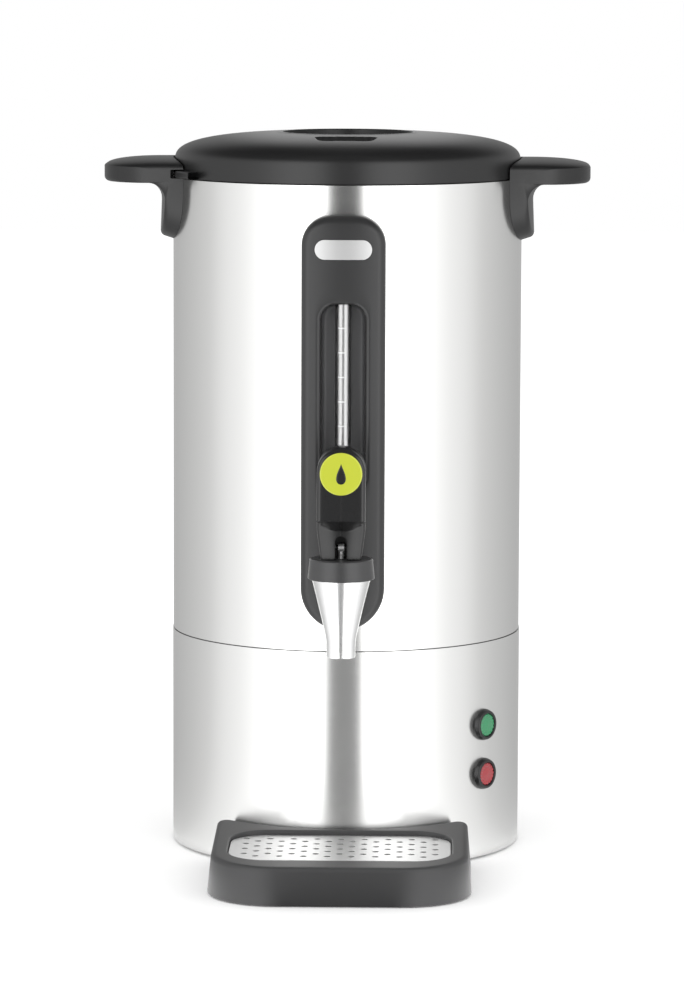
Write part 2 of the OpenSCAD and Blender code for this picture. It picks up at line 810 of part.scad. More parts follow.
// Lens with a bevelled edge, in the bezel's cup
module lamp_lens(z) {
    place() outward(lamp_angle, z) translate([0, 0, skirt_r]) rotate_extrude() polygon([
        [0, lamp_cup_floor], [lens_r, lamp_cup_floor], [lens_r, bezel_out - 3 * lens_sink],
        [lens_r - 2 * lens_sink, bezel_out - lens_sink], [lens_r / 2, bezel_out - lens_sink / 5],
        [0, bezel_out]]);
}

module lamp_lens_green() {
    color("seagreen") lamp_lens(lamp_low_z + lamp_step);
}

module lamp_lens_red() {
    color("firebrick") lamp_lens(lamp_low_z);
}

// Hex nuts that hold the lamps from inside the base
module lamp_nuts() {
    nut_r = 9;
    seat = skirt_r - wall - 0.5;
    color("gray") place() for (z = [lamp_low_z, lamp_low_z + lamp_step]) {
        outward(lamp_angle, z) translate([0, 0, seat - nut_h]) difference() {
            cylinder(r = nut_r, h = nut_h, $fn = 6);
            translate([0, 0, -cut]) cylinder(r = barrel_r, h = nut_h + 2 * cut);
        }
    }
}

// Outline of a handle's wing seen from above
module wing_outline() {
    inner = drum_r - 20;
    translate([inner, -handle_hw]) square([handle_reach - handle_corner - inner, 2 * handle_hw]);
    translate([inner, handle_corner - handle_hw])
        square([handle_reach - inner, 2 * (handle_hw - handle_corner)]);
    for (s = [-1, 1]) {
        translate([handle_reach - handle_corner, s * (handle_hw - handle_corner)]) circle(r = handle_corner);
    }
}

// Wing with a top that is crowned from side to side and falls away outwards
module wing() {
    crown_x = drum_r + 8;
    fall_r = pow(handle_reach - crown_x, 2) / (2 * wing_fall);
    crown_r = pow(handle_hw, 2) / (2 * wing_crown);
    crown_z = wing_edge_z + wing_crown;
    intersection() {
        translate([0, 0, wing_z]) linear_extrude(wing_t + wing_crown + 1) wing_outline();
        translate([0, 0, crown_z - crown_r]) rotate([0, 90, 0]) cylinder(r = crown_r, h = 2 * handle_reach);
        translate([crown_x, handle_reach, crown_z - fall_r]) rotate([90, 0, 0])
            cylinder(r = fall_r, h = 2 * handle_reach);
    }
}

// Shield-shaped bracket against the drum, with a fillet up into the wing
module bracket() {
    half_angle = asin(handle_hw / drum_r) + 3;
    out_r = drum_r + bracket_t;
    in_r = drum_r - 3;
    top = wing_z + 2;
    low = bracket_low - 2;
    blend = 0.2;
    fillet_z = wing_z - handle_fillet - blend;
    end_z = bracket_low + bracket_round / cos(bracket_slant);
    intersection() {
        rotate([0, 0, -half_angle]) rotate_extrude(angle = 2 * half_angle) {
            polygon([
                [in_r, low], [out_r + bracket_flare, low], [out_r, wing_z - handle_fillet],
                [out_r, top], [in_r, top]]);
            difference() {
                translate([out_r - 1, fillet_z]) square([handle_fillet + 1, top - fillet_z - blend]);
                translate([out_r + handle_fillet + blend, fillet_z]) circle(r = handle_fillet);
            }
        }
        translate([drum_r, 0, end_z]) rotate([0, 90 - bracket_slant, 0])
            cylinder(r = bracket_round, h = 2 * handle_reach, center = true);
        translate([0, wing_edge - handle_hw, low])
            cube([handle_reach, 2 * (handle_hw - wing_edge), rim_z - low]);
    }
}

// Handle towards +X: wing and bracket in one moulding, with screw holes and a bayonet slot at its +Y end
module handle() {
    slot_end = lug_start - lid_turn - 1.5;
    slot_sweep = 50;
    slot_in = 9;
    difference() {
        union() {
            wing();
            bracket();
        }
        drum_cylinder(grip_r, bracket_low - 3, lid_top);
        rotate([0, 0, slot_end]) rotate_extrude(angle = slot_sweep) translate([lid_r - slot_in, slot_z])
            square([slot_r - lid_r + slot_in, slot_h]);
        for (a = [-handle_screw_a, handle_screw_a]) {
            outward(90 + a, handle_screw_z)
                cylinder(r = handle_screw_r, h = drum_r + run_gap + handle_screw_in);
        }
    }
}

module handle_left() {
    color("#2b2b2b") place() rotate([0, 0, 180]) handle();
}

module handle_right() {
    color("#2b2b2b") place() handle();
}

// Pan-head screw from inside the tank outwards
module wall_screw(angle, z, reach) {
    head_seat = drum_r - wall - 0.15;
    outward(angle, z) {
        translate([0, 0, head_seat - screw_head_h]) cylinder(r = screw_head_r, h = screw_head_h);
        translate([0, 0, head_seat - cut])
            cylinder(r = handle_screw_r - 0.05, h = drum_r + reach - head_seat + cut);
    }
}

// Two screws through the tank wall into each handle
module handle_screws() {
    color("silver") place() for (side = [90, 270], a = [-handle_screw_a, handle_screw_a]) {
        wall_screw(side + a, handle_screw_z, handle_screw_in);
    }
}

// Panel outline, seen from the front: round below, square with rounded corners above
module panel_outline(inset) {
    half = panel_w / 2;
    translate([0, panel_end_z]) circle(r = half - inset);
    translate([inset - half, panel_end_z])
        square([panel_w - 2 * inset, panel_top_z - panel_corner - panel_end_z]);
    translate([panel_corner - half, panel_end_z])
        square([panel_w - 2 * panel_corner, panel_top_z - inset - panel_end_z]);
    for (s = [-1, 1]) {
        translate([s * (half - panel_corner), panel_top_z - panel_corner]) circle(r = panel_corner - inset);
    }
}

// Everything between two radii about the drum's axis
module drum_shell(r0, r1, z0, z1) {
    translate([0, 0, z0]) pipe(r1, r0, z1 - z0);
}

// Panel moulding: rounded front edge, sight recess, badge pocket, hollow ends and a screw post
module front_panel() {
    low = panel_end_z - panel_w;
    high = panel_top_z + panel_w;
    post_r = 4.5;
    hollow = panel_wall + 0.6;
    color("#2b2b2b") place() difference() {
        intersection() {
            hull() {
                for (a = [0:30:90]) {
                    outward(0, 0) linear_extrude(panel_r - panel_edge * (1 - sin(a)))
                        panel_outline(panel_edge * (1 - cos(a)), $fn = 2 * blend_fn);
                }
            }
            drum_shell(panel_back_r, panel_r, low, high);
            translate([-panel_w, -2 * panel_r, low]) cube([2 * panel_w, 2 * panel_r, high - low]);
        }
        outward(0, (recess_top_z + recess_low_z) / 2) translate([0, 0, recess_y])
            linear_extrude(panel_out) rounded_plate(recess_w, recess_top_z - recess_low_z, recess_corner);
        // Bore for the sight tube at both ends of the recess
        translate([0, -tube_y, tee_top_z - cut])
            cylinder(r = tube_r + fit_gap, h = recess_low_z - tee_top_z + 2 * cut);
        translate([0, -tube_y, recess_top_z - cut])
            cylinder(r = tube_r + fit_gap + seal_t, h = tube_seat_z + 1 - recess_top_z + cut);
        // Hollow round the shank, and another behind the badge
        difference() {
            intersection() {
                outward(0, 0) linear_extrude(panel_r + cut) panel_outline(hollow);
                drum_shell(drum_r - cut, panel_r - panel_wall, low, high);
                union() {
                    translate([-panel_w, -2 * panel_r, low])
                        cube([2 * panel_w, 2 * panel_r, recess_low_z - hollow - low]);
                    translate([-panel_w, -2 * panel_r, tube_seat_z + 3])
                        cube([2 * panel_w, 2 * panel_r, high - tube_seat_z]);
                }
            }
            outward(0, badge_z) cylinder(r = post_r, h = panel_r);
        }
        outward(0, shank_z) cylinder(r = shank_r + fit_gap, h = panel_r + cut);
        outward(0, badge_z) cylinder(r = handle_screw_r, h = panel_r - badge_t - 2);
        intersection() {
            outward(0, badge_z) linear_extrude(panel_r + cut) badge_outline(fit_gap);
            drum_shell(panel_r + badge_proud - badge_t - fit_gap, panel_r + cut,
                badge_z - badge_w, badge_z + badge_w);
        }
    }
}

// Pill outline of the badge plate
module badge_outline(grow) {
    rounded_plate(badge_w + 2 * grow, badge_h + 2 * grow, badge_h / 2 + grow - 0.01);
}

// Bare metal plate, bent to the panel's front
module badge_plate() {
    color("lightgray") place() intersection() {
        outward(0, badge_z) linear_extrude(panel_r + 2) badge_outline(0);
        drum_shell(panel_r + badge_proud - badge_t, panel_r + badge_proud,
            badge_z - badge_w, badge_z + badge_w);
    }
}

module panel_screw() {
    color("silver") place() wall_screw(0, badge_z, panel_out - badge_t - 3);
}

// Clear tube that shows the level
module sight_tube() {
    color("lightcyan") place() translate([0, -tube_y, tube_low_z])
        pipe(tube_r, tube_r - tube_wall, tube_seat_z - tube_low_z);
}

// Sleeves that seal the sight tube, one in the panel and one in the shank's branch
module tube_seals() {
    color("lightgray") place() {
        translate([0, -tube_y, recess_top_z])
            pipe(tube_r + seal_t + fit_gap, tube_r, tube_seat_z - recess_top_z);
        translate([0, -tube_y, tube_low_z]) pipe(tube_r + seal_t, tube_r, tee_top_z - tube_low_z);
    }
}

// Shank through the tank wall, with a clamping flange and an upright branch for the sight tube
module tap_shank() {
    flange_y = drum_r + washer_out;
    flange_r = shank_r + 3.5;
    shank_end = tap_y - spout_radius((shank_z - spout_tip_z) / spout_h) + spout_wall;
    color("silver") place() difference() {
        union() {
            outward(0, shank_z) translate([0, 0, shank_in]) cylinder(r = shank_r, h = shank_end - shank_in);
            outward(0, shank_z) translate([0, 0, flange_y]) cylinder(r = flange_r, h = 2);
            translate([0, -tube_y, shank_z]) cylinder(r = tee_r, h = tee_top_z - shank_z);
        }
        outward(0, shank_z) cylinder(r = shank_bore, h = tap_y);
        translate([0, -tube_y, tube_low_z]) cylinder(r = tube_r + seal_t, h = tee_top_z);
        translate([0, -tube_y, shank_z]) cylinder(r = tube_r - tube_wall - 1, h = tee_top_z - shank_z);
        drum_cylinder(drum_r + 0.05, shank_z + shank_r, tee_top_z + cut);
    }
}

// Hex nut inside the tank
module shank_nut() {
    nut_r = 13.5;
    seat = drum_r - wall - washer_in;
    color("silver") place() outward(0, shank_z) translate([0, 0, seat - shank_nut_h]) difference() {
        cylinder(r = nut_r, h = shank_nut_h, $fn = 6);
        translate([0, 0, -cut]) cylinder(r = shank_r, h = shank_nut_h + 2 * cut);
    }
}

// Rubber washers either side of the tank wall, shaped to its curve
module shank_washers() {
    color("#404040") place() {
        intersection() {
            outward(0, shank_z) translate([0, 0, drum_r - wall - washer_in])
                pipe(washer_r, shank_r, 2 * washer_in);
            drum_cylinder(drum_r - wall, shank_z - 2 * washer_r, shank_z + 2 * washer_r);
        }
        difference() {
            outward(0, shank_z) translate([0, 0, drum_r - washer_in])
                pipe(washer_r - 2, shank_r, washer_in + washer_out);
            drum_cylinder(drum_r, shank_z - 2 * washer_r, shank_z + 2 * washer_r);
            // Room for the branch to the sight tube
            translate([0, -tube_y, shank_z]) cylinder(r = tee_r + fit_gap, h = 2 * washer_r);
        }
    }
}

// Threaded collar that holds the panel against the drum
module tap_collar() {
    color("#1c1c1c") place() outward(0, shank_z) translate([0, 0, panel_r]) pipe(collar_r, shank_r, collar_t);
}

// Chrome spout: curved outside, valve seat inside, open for the shank and threaded for the bonnet
module tap_body() {
    steps = 14;
    slit_w = 1.2;
    slit_h = 4;
    seat_s = seat_rise / spout_h;
    low_s = (seat_rise - seat_t) / spout_h;
    color("whitesmoke") place() difference() {
        at_tap() rotate_extrude() polygon(concat(
            [for (i = [0:steps]) [spout_radius(i / steps), spout_tip_z + spout_h * i / steps]],
            [[spout_neck_r, spout_top_z], [spout_neck_r, neck_top_z],
                [spout_neck_r - spout_wall, neck_top_z]],
            [for (i = [steps:-1:0]) let (s = seat_s + (1 - seat_s) * i / steps)
                [spout_radius(s) - spout_wall - (i == steps ? 0.7 : 0), spout_tip_z + spout_h * s]],
            [[seat_hole_r, seat_z], [seat_hole_r, seat_z - seat_t]],
            [for (i = [steps:-1:0]) let (s = low_s * i / steps)
                [spout_radius(s) - spout_wall, spout_tip_z + spout_h * s]]));
        outward(0, shank_z) cylinder(r = shank_r + 0.05, h = tap_y);
        translate([-slit_w / 2, -tap_y - 2 * spout_tip_r, spout_tip_z - cut])
            cube([slit_w, 2 * spout_tip_r, slit_h + cut]);
    }
}

// Screwed cap over the spout, narrower at its top, with the stem's guide in its deck
module tap_bonnet() {
    edge = 0.8;
    bore = spout_neck_r + 0.2;
    guide = stem_r + run_gap;
    deck_z = bonnet_top - bonnet_deck;
    color("#262626") place() at_tap() rotate_extrude() polygon([
        [bore, bonnet_z], [bonnet_r - edge / 2, bonnet_z], [bonnet_r, bonnet_z + edge / 2],
        [bonnet_top_r, bonnet_top - edge], [bonnet_top_r - edge, bonnet_top], [guide, bonnet_top],
        [guide, deck_z], [bore, deck_z]]);
}

// One unbroken round wire along a helix, as rings of points joined by triangles
module valve_spring() {
    rings = 8 * coil_turns;
    sides = 6;
    rise = spring_high - spring_low;
    pitch = rise / coil_turns;
    gap = pitch - 2 * wire_r;
    echo("least gap between the spring's turns", gap);
    points = [for (i = [0:rings], k = [0:sides - 1]) let (
            turn = 360 * coil_turns * i / rings,
            r = coil_r + wire_r * cos(360 * k / sides),
            z = spring_low + rise * i / rings + wire_r * sin(360 * k / sides))
        [r * cos(turn), r * sin(turn), z]];
    walls = [for (i = [0:rings - 1], k = [0:sides - 1]) let (
            a = i * sides + k,
            b = i * sides + (k + 1) % sides)
        each [[a, b, b + sides], [a, b + sides, a + sides]]];
    ends = [for (k = [1:sides - 2])
        each [[0, k + 1, k], [rings * sides, rings * sides + k, rings * sides + k + 1]]];
    color("silver") place() at_tap()
        polyhedron(points = points, faces = [for (f = concat(walls, ends)) [f[0], f[2], f[1]]]);
}

// Stem from the seat cup up to the eye that takes the lever's pin
module valve_stem() {
    eye_r = pin_r + 1.2;
    color("whitesmoke") place() at_tap() difference() {
        union() {
            translate([0, 0, seat_cup_z + 3]) cylinder(r = stem_r, h = pin_z - seat_cup_z - 3);
            translate([-stem_r, 0, pin_z]) rotate([0, 90, 0]) cylinder(r = eye_r, h = 2 * stem_r);
        }
        translate([-2 * stem_r, 0, pin_z]) rotate([0, 90, 0]) cylinder(r = pin_r, h = 4 * stem_r);
    }
}

// Silicone cup that closes the valve seat, gripped round the stem's foot
module seat_cup() {
    color("ivory") place() at_tap() difference() {
        translate([0, 0, seat_cup_z]) rotate_extrude() polygon([
            [0, 0], [seat_cup_r, 0], [seat_cup_r, 3], [stem_r + 1.6, seat_cup_h], [0, seat_cup_h]]);
        translate([0, 0, seat_cup_z + 3]) cylinder(r = stem_r, h = seat_cup_h);
    }
}

// Half width of the lever at height z
function lever_half(z) = (lever_foot_w
    + (lever_w - lever_foot_w) * min(1, (z - bonnet_top) / (lever_taper_z - bonnet_top))) / 2;

// Cross pin through the lever and the stem's eye
module lever_pin() {
    pin_proud = 0.4;
    half = lever_half(pin_z) + pin_proud;
    color("silver") place() at_tap() translate([-half, 0, pin_z]) rotate([0, 90, 0])
        cylinder(r = pin_r, h = 2 * half);
}

// Depth of the lever's face in front of the stem at height z
function lever_face(z) = (z - lip_z) * tan(lever_lean) - lip_out;

// Side profile of the lever's cam foot: two rounds that ride on the bonnet
module lever_cam() {
    // Keeps the flat between the rounds just off their lowest points
    flat_rise = 0.1;
    for (s = [-1, 1]) translate([s * cam_out, pin_z]) circle(r = cam_r);
    translate([-cam_out, pin_z - cam_r + flat_rise]) square([2 * cam_out, cam_r]);
}

// Side profile of the lever's body: a neck, a lip with a scooped underside and a leaning face
module lever_body() {
    scoop_r = 6.5;
    neck_front = cam_out + cam_r - 2;
    neck_low = pin_z - cam_r / 2;
    top_round = 5;
    difference() {
        polygon([
            [-neck_front, neck_low], [-neck_front, lip_z - scoop_r], [-lip_out, lip_z - lip_t],
            [-lip_out, lip_z], [lever_face(lever_top - top_round), lever_top - top_round],
            [lever_face(lever_top) + top_round, lever_top], [lever_back - top_round, lever_top],
            [lever_back, lever_top - top_round], [lever_back + 3, neck_low]]);
        translate([-lip_out - 0.5, lip_z - lip_t - scoop_r]) circle(r = scoop_r);
    }
}

// Carries a side profile across the lever's width
module across_lever() {
    rotate([90, 0, 90]) translate([0, 0, -lever_w]) linear_extrude(2 * lever_w) children();
}

// Front outline of the lever: a round head on a tapered foot
module lever_front() {
    head_z = lever_top - lever_round;
    low_z = bonnet_top - cut;
    translate([0, head_z]) circle(r = lever_round);
    polygon([
        [-lever_half(low_z), low_z], [lever_half(low_z), low_z], [lever_round, lever_taper_z],
        [lever_round, head_z], [-lever_round, head_z], [-lever_round, lever_taper_z]]);
}

// Places children on the lever's leaning face, with z out of the face
module on_lever_face(z) {
    translate([0, lever_face(z), z]) rotate([90 - lever_lean, 0, 0]) children();
}

// Lever: cam foot, slot for the stem, pin holes and a round pocket for the badge
module tap_lever() {
    slot_top = pin_z + 6;
    slot_back = pin_r + 1.2 + 2 * run_gap;
    pocket = lever_badge_t - 0.4;
    color("#262626") place() at_tap() difference() {
        intersection() {
            union() {
                across_lever() lever_cam();
                across_lever() lever_body();
            }
            translate([0, 3 * lip_out, 0]) rotate([90, 0, 0]) linear_extrude(6 * lip_out) lever_front();
        }
        translate([0, slot_back, 0]) rotate([90, 0, 0]) linear_extrude(3 * lip_out) {
            translate([0, slot_top - lever_slot / 2]) circle(r = lever_slot / 2);
            translate([-lever_slot / 2, bonnet_top - cut])
                square([lever_slot, slot_top - lever_slot / 2 - bonnet_top + cut]);
        }
        translate([-lever_w, 0, pin_z]) rotate([0, 90, 0]) cylinder(r = pin_r + fit_gap, h = 2 * lever_w);
        on_lever_face(lever_badge_z) translate([0, 0, -pocket])
            cylinder(d = lever_badge_d + 2 * fit_gap, h = lip_out);
    }
}

// Round badge in the lever's face
module lever_badge() {
    color("yellowgreen") place() at_tap() on_lever_face(lever_badge_z) translate([0, 0, 0.4 - lever_badge_t])
        cylinder(d = lever_badge_d, h = lever_badge_t);
}

// Pump tube with the collar that carries the basket
module pump_tube() {
    collar_h = 4;
    color("silver") place() difference() {
        union() {
            drum_cylinder(pump_r, well_z + pump_foot_h, pump_top_z);
            translate([0, 0, basket_low_z - collar_h - fit_gap]) cylinder(r = sleeve_r, h = collar_h);
        }
        translate([0, 0, well_z]) cylinder(r = pump_r - pump_wall, h = rim_z);
    }
}

// Bell-shaped foot that stands in the pump well, with slots that let water in
module pump_foot() {
    foot_wall = 1.5;
    notches = 6;
    notch_r = 1.2;
    color("silver") place() difference() {
        translate([0, 0, well_z]) rotate_extrude() polygon([
            [pump_foot_r - foot_wall, 0], [pump_foot_r, 0], [pump_foot_r, 2], [pump_r + 2, pump_foot_h + 3],
            [pump_r, pump_foot_h + 3], [pump_r, pump_foot_h], [pump_r - pump_wall, pump_foot_h],
            [pump_foot_r - foot_wall, foot_wall]]);
        for (i = [0:notches - 1]) {
            rotate([0, 0, 360 / notches * i]) translate([pump_foot_r, 0, well_z]) rotate([0, 90, 0])
                cylinder(r = notch_r, h = 5 * foot_wall, center = true);
        }
    }
}

// Filter basket: an open cup with a sleeve over the pump tube and rings of holes in its floor
module filter_basket() {
    rings = 3;
    color("lightgray") place() difference() {
        rotate_extrude() polygon([
            [pump_r + run_gap, basket_low_z], [basket_r, basket_low_z], [basket_r, basket_top_z - basket_t],
            [basket_r + 2, basket_top_z - basket_t], [basket_r + 2, basket_top_z],
            [basket_r - basket_t, basket_top_z],
            [basket_r - basket_t, basket_low_z + basket_t], [sleeve_r, basket_low_z + basket_t],
            [sleeve_r, basket_top_z], [pump_r + run_gap, basket_top_z]]);
        for (k = [1:rings], i = [0:8 * k - 1]) {
            ring_r = (basket_r - 8) * (k + 0.2) / (rings + 0.2);
            rotate([0, 0, 45 / k * i]) translate([ring_r, 0, basket_low_z - cut])
                cylinder(r = basket_hole_r, h = basket_t + 2 * cut);
        }
    }
}

// Spreader over the basket: a shallow dish with a ring of drip holes
module basket_cover() {
    holes = 16;
    dish = 3;
    low = basket_top_z;
    color("gainsboro") place() difference() {
        rotate_extrude() polygon([
            [pump_r + run_gap, low], [basket_r - 6, low], [basket_r, low + dish - basket_t],
            [basket_r + 2, low + dish - basket_t], [basket_r + 2, low + dish], [basket_r - 1, low + dish],
            [basket_r - 7, low + basket_t], [pump_r + run_gap, low + basket_t]]);
        for (i = [0:holes - 1]) {
            rotate([0, 0, 360 / holes * i]) translate([basket_r / 2, 0, low - cut])
                cylinder(r = basket_hole_r, h = basket_t + 2 * cut);
        }
    }
}

// Half section of the lid: domed skin, upright edge, rimmed round recess and the plug ring
module lid_section() {
    rim_r = lid_recess_r + lid_rim_w;
    rim_top = recess_edge_z + lid_rim_h;
    outer = crowd(rim_r, lid_r, lid_steps);
    inner = crowd(lid_recess_r + lid_t, lid_r - lid_t, lid_steps);
    polygon(concat(
        [[0, recess_floor_z - lid_t], [lid_recess_r + lid_t, recess_floor_z - lid_t]],
        [for (r = inner) [r, lid_under(r)]],
        [[lid_r - lid_t, lid_z], [lid_r, lid_z]],
        [for (i = [lid_steps:-1:0]) [outer[i], lid_dome(outer[i])]],
        [[rim_r - lid_rim_w / 3, rim_top - lid_rim_h / 8], [rim_r - lid_rim_w * 2 / 3, rim_top],
            [lid_recess_r, rim_top - lid_rim_h / 2], [lid_recess_r, recess_floor_z], [0, recess_floor_z]]));
    difference() {
        translate([plug_r - lid_t, plug_low]) square([lid_t, lid_under(plug_r) - plug_low + lid_t / 2]);
        translate([plug_r - gasket_groove, gasket_z - fit_gap])
            square([2 * gasket_groove, gasket_h + 2 * fit_gap]);
    }
}

// Trapezoid outline of the steam pocket with rounded corners, seen from above
module pocket_outline() {
    r = 4;
    hull() {
        for (s = [-1, 1]) {
            translate([s * (pocket_w / 2 - r), -pocket_r0 - r]) circle(r = r, $fn = blend_fn);
            translate([s * (pocket_w / 2 - r - 4), -pocket_r1 + r]) circle(r = r, $fn = blend_fn);
        }
    }
}

// Lid moulding: dome, recess with a grip bar, steam pocket, screw posts and two locking lugs
module lid_shell() {
    pocket_depth = 4.5;
    pocket_floor = lid_dome(pocket_r1) - pocket_depth + 1.5;
    steam_holes = 4;
    steam_hole_step = 6.5;
    grip_top = recess_edge_z - grip_sink;
    color("#262626") place() difference() {
        union() {
            rotate_extrude() lid_section();
            intersection() {
                translate([-lid_recess_r - 1, -grip_w / 2, recess_floor_z - 1])
                    cube([2 * lid_recess_r + 2, grip_w, grip_top - recess_floor_z + 1]);
                drum_cylinder(lid_recess_r + 1, recess_floor_z - 1, lid_top);
            }
            for (i = [0:2]) {
                rotate([0, 0, 90 + 120 * i]) translate([lid_post_ring, 0, liner_low + liner_t])
                    cylinder(r = lid_post_r, h = recess_floor_z - lid_t - liner_low - liner_t + 1);
            }
            for (side = [0, 180]) {
                rotate([0, 0, side + lug_start]) rotate_extrude(angle = lug_span)
                    translate([lid_r - lid_t / 2, lug_z]) square([lug_out + lid_t / 2, lug_t]);
            }
            // Walls and floor of the steam pocket, under the dome
            translate([0, 0, pocket_floor - lid_t])
                linear_extrude(lid_under(pocket_r1) - pocket_floor + lid_t)
                    offset(delta = lid_t) pocket_outline();
        }
        translate([0, 0, pocket_floor]) linear_extrude(lid_top) pocket_outline();
        for (i = [0:steam_holes - 1]) {
            x = (i - (steam_holes - 1) / 2) * steam_hole_step;
            translate([x, -(pocket_r0 + pocket_r1) / 2, pocket_floor - lid_t - cut])
                cylinder(r = steam_hole_r, h = lid_t + 2 * cut);
        }
        for (i = [0:2]) {
            rotate([0, 0, 90 + 120 * i]) translate([lid_post_ring, 0, liner_low])
                cylinder(r = lid_screw_r, h = lid_screw_l + 3);
        }
    }
}

// Disc that closes the lid from below
module lid_liner() {
    color("silver") place() difference() {
        drum_cylinder(plug_r - lid_t - fit_gap, liner_low, liner_low + liner_t);
        for (i = [0:2]) {
            rotate([0, 0, 90 + 120 * i]) translate([lid_post_ring, 0, liner_low - cut])
                cylinder(r = lid_screw_r, h = liner_t + 2 * cut);
        }
    }
}

// Screws that hold the liner to the lid's posts
module lid_screws() {
    head_r = 3.4;
    head_h = 2;
    color("silver") place() for (i = [0:2]) {
        rotate([0, 0, 90 + 120 * i]) translate([lid_post_ring, 0, liner_low]) {
            translate([0, 0, -head_h]) cylinder(r = head_r, h = head_h);
            cylinder(r = lid_screw_r, h = lid_screw_l);
        }
    }
}

// Silicone ring in the plug's groove
module lid_gasket() {
    color("lightgray") place() translate([0, 0, gasket_z + fit_gap])
        pipe(mouth_r - run_gap, plug_r - gasket_groove + run_gap, gasket_h - 2 * fit_gap);
}

// Corner rounds of the tray in one level, for the blended outer form
module tray_slice(front_z, rear_z, inset) {
    for (s = [-1, 1]) {
        translate([s * (tray_w / 2 - tray_corner), tray_corner - tray_reach, front_z])
            cylinder(r = tray_corner - inset, h = slice, $fn = 2 * blend_fn);
        translate([s * (tray_w / 2 - tray_rear_round), -tray_rear_y, rear_z])
            cylinder(r = tray_rear_round - inset, h = slice, $fn = blend_fn);
    }
}

// Grid outline seen from above, about its own middle
module grid_outline(inset) {
    rounded_plate(grid_w - 2 * inset, grid_d - 2 * inset, grid_corner - inset);
}

// Tray moulding: sloped rim, drafted sides, a back that follows the base, a ledge for the grid and a basin
module tray_base() {
    foot_round = 1;
    color("#262626") place() difference() {
        hull() {
            tray_slice(0, 0, foot_round);
            tray_slice(foot_round, foot_round, 0);
            for (a = [0:30:90]) {
                drop = slice + tray_edge * (1 - sin(a));
                tray_slice(tray_front_h - drop, tray_rear_h - drop, tray_draft + tray_edge * (1 - cos(a)));
            }
        }
        drum_cylinder(skirt_r + tray_gap, -cut, 2 * tray_rear_h);
        translate([0, -grid_y, grid_low - run_gap]) linear_extrude(tray_rear_h) grid_outline(0);
        translate([0, -grid_y, tray_floor]) linear_extrude(tray_rear_h) grid_outline(ledge_w);
    }
}

// True where a hole at x, y keeps its margin from the grid's rounded edge
function in_grid(x, y, margin) = let (
        w = grid_w / 2 - margin,
        d = grid_d / 2 - margin,
        r = grid_corner - margin,
        dx = max(0, abs(x) - (w - r)),
        dy = max(0, abs(y) - (d - r)))
    abs(x) <= w && abs(y) <= d && norm([dx, dy]) <= r;

// Punched steel plate with staggered holes
module drip_grid() {
    margin = grid_hole_r + 3;
    columns = floor(grid_w / 2 / grid_step_x);
    rows = floor(grid_d / 2 / grid_step_y);
    color("gainsboro") place() translate([0, -grid_y, grid_low]) linear_extrude(grid_t) difference() {
        grid_outline(2 * run_gap);
        for (i = [-columns:columns], j = [-rows:rows]) {
            if ((i + j) % 2 == 0 && in_grid(i * grid_step_x, j * grid_step_y, margin)) {
                translate([i * grid_step_x, j * grid_step_y]) circle(r = grid_hole_r, $fn = 24);
            }
        }
    }
}

tank();
base_skirt();
joint_ring();
base_plate();
feet();
tie_stud();
tie_nut();
boil_element();
warm_element();
heater_plate();
thermostat();
thermal_cutout();
terminal_block();
power_inlet();
inlet_pins();
switch_body();
power_rocker();
lamp_bezel_upper();
lamp_bezel_lower();
lamp_lens_green();
lamp_lens_red();
lamp_nuts();
handle_left();
handle_right();
handle_screws();
front_panel();
panel_screw();
badge_plate();
sight_tube();
tube_seals();
tap_shank();
shank_nut();
shank_washers();
tap_collar();
tap_body();
tap_bonnet();
valve_spring();
valve_stem();
seat_cup();
lever_pin();
tap_lever();
lever_badge();
pump_tube();
pump_foot();
filter_basket();
basket_cover();
lid_shell();
lid_liner();
lid_screws();
lid_gasket();
tray_base();
drip_grid();
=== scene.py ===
# %% [markdown]
# # The looks of a coffee urn
#
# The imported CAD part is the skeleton: every size here is read from it or lies on it. This lesson dresses
# it: each visible moulding becomes a smooth surface on a grid of points, and each gets a real finish.

import math
from types import SimpleNamespace as Sizes

import bmesh
import bpy
import numpy as np
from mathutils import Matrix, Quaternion, Vector


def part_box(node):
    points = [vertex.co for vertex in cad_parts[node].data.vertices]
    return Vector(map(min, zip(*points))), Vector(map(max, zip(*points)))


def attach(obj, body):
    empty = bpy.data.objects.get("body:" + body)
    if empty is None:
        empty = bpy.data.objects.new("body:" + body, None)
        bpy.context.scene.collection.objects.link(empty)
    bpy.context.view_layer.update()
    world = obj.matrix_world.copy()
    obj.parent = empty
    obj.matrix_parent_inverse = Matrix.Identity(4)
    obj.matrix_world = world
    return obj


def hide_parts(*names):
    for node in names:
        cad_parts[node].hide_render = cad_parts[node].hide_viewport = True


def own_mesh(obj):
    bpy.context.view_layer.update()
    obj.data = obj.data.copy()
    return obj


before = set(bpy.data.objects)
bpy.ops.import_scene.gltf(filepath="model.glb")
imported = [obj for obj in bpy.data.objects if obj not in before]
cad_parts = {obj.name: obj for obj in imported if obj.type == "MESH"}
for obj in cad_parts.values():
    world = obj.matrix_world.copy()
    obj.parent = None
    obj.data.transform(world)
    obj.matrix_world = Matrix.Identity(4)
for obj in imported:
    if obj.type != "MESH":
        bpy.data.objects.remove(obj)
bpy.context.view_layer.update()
MM = 0.001
tank_low, tank_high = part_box("tank")
AXIS_Y = (tank_low.y + tank_high.y) / 2 / MM
DRUM_R = (tank_high.x - tank_low.x) / 2 / MM
RIM_Z = tank_high.z / MM


def box_mm(node):
    """The low and the high corner of a CAD node, in millimetres about the drum's axis."""
    return np.array(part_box(node)) / MM - [0, AXIS_Y, 0]


print(f"{len(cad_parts)} CAD nodes; drum radius {DRUM_R:.1f} mm, rim at {RIM_Z:.1f} mm")

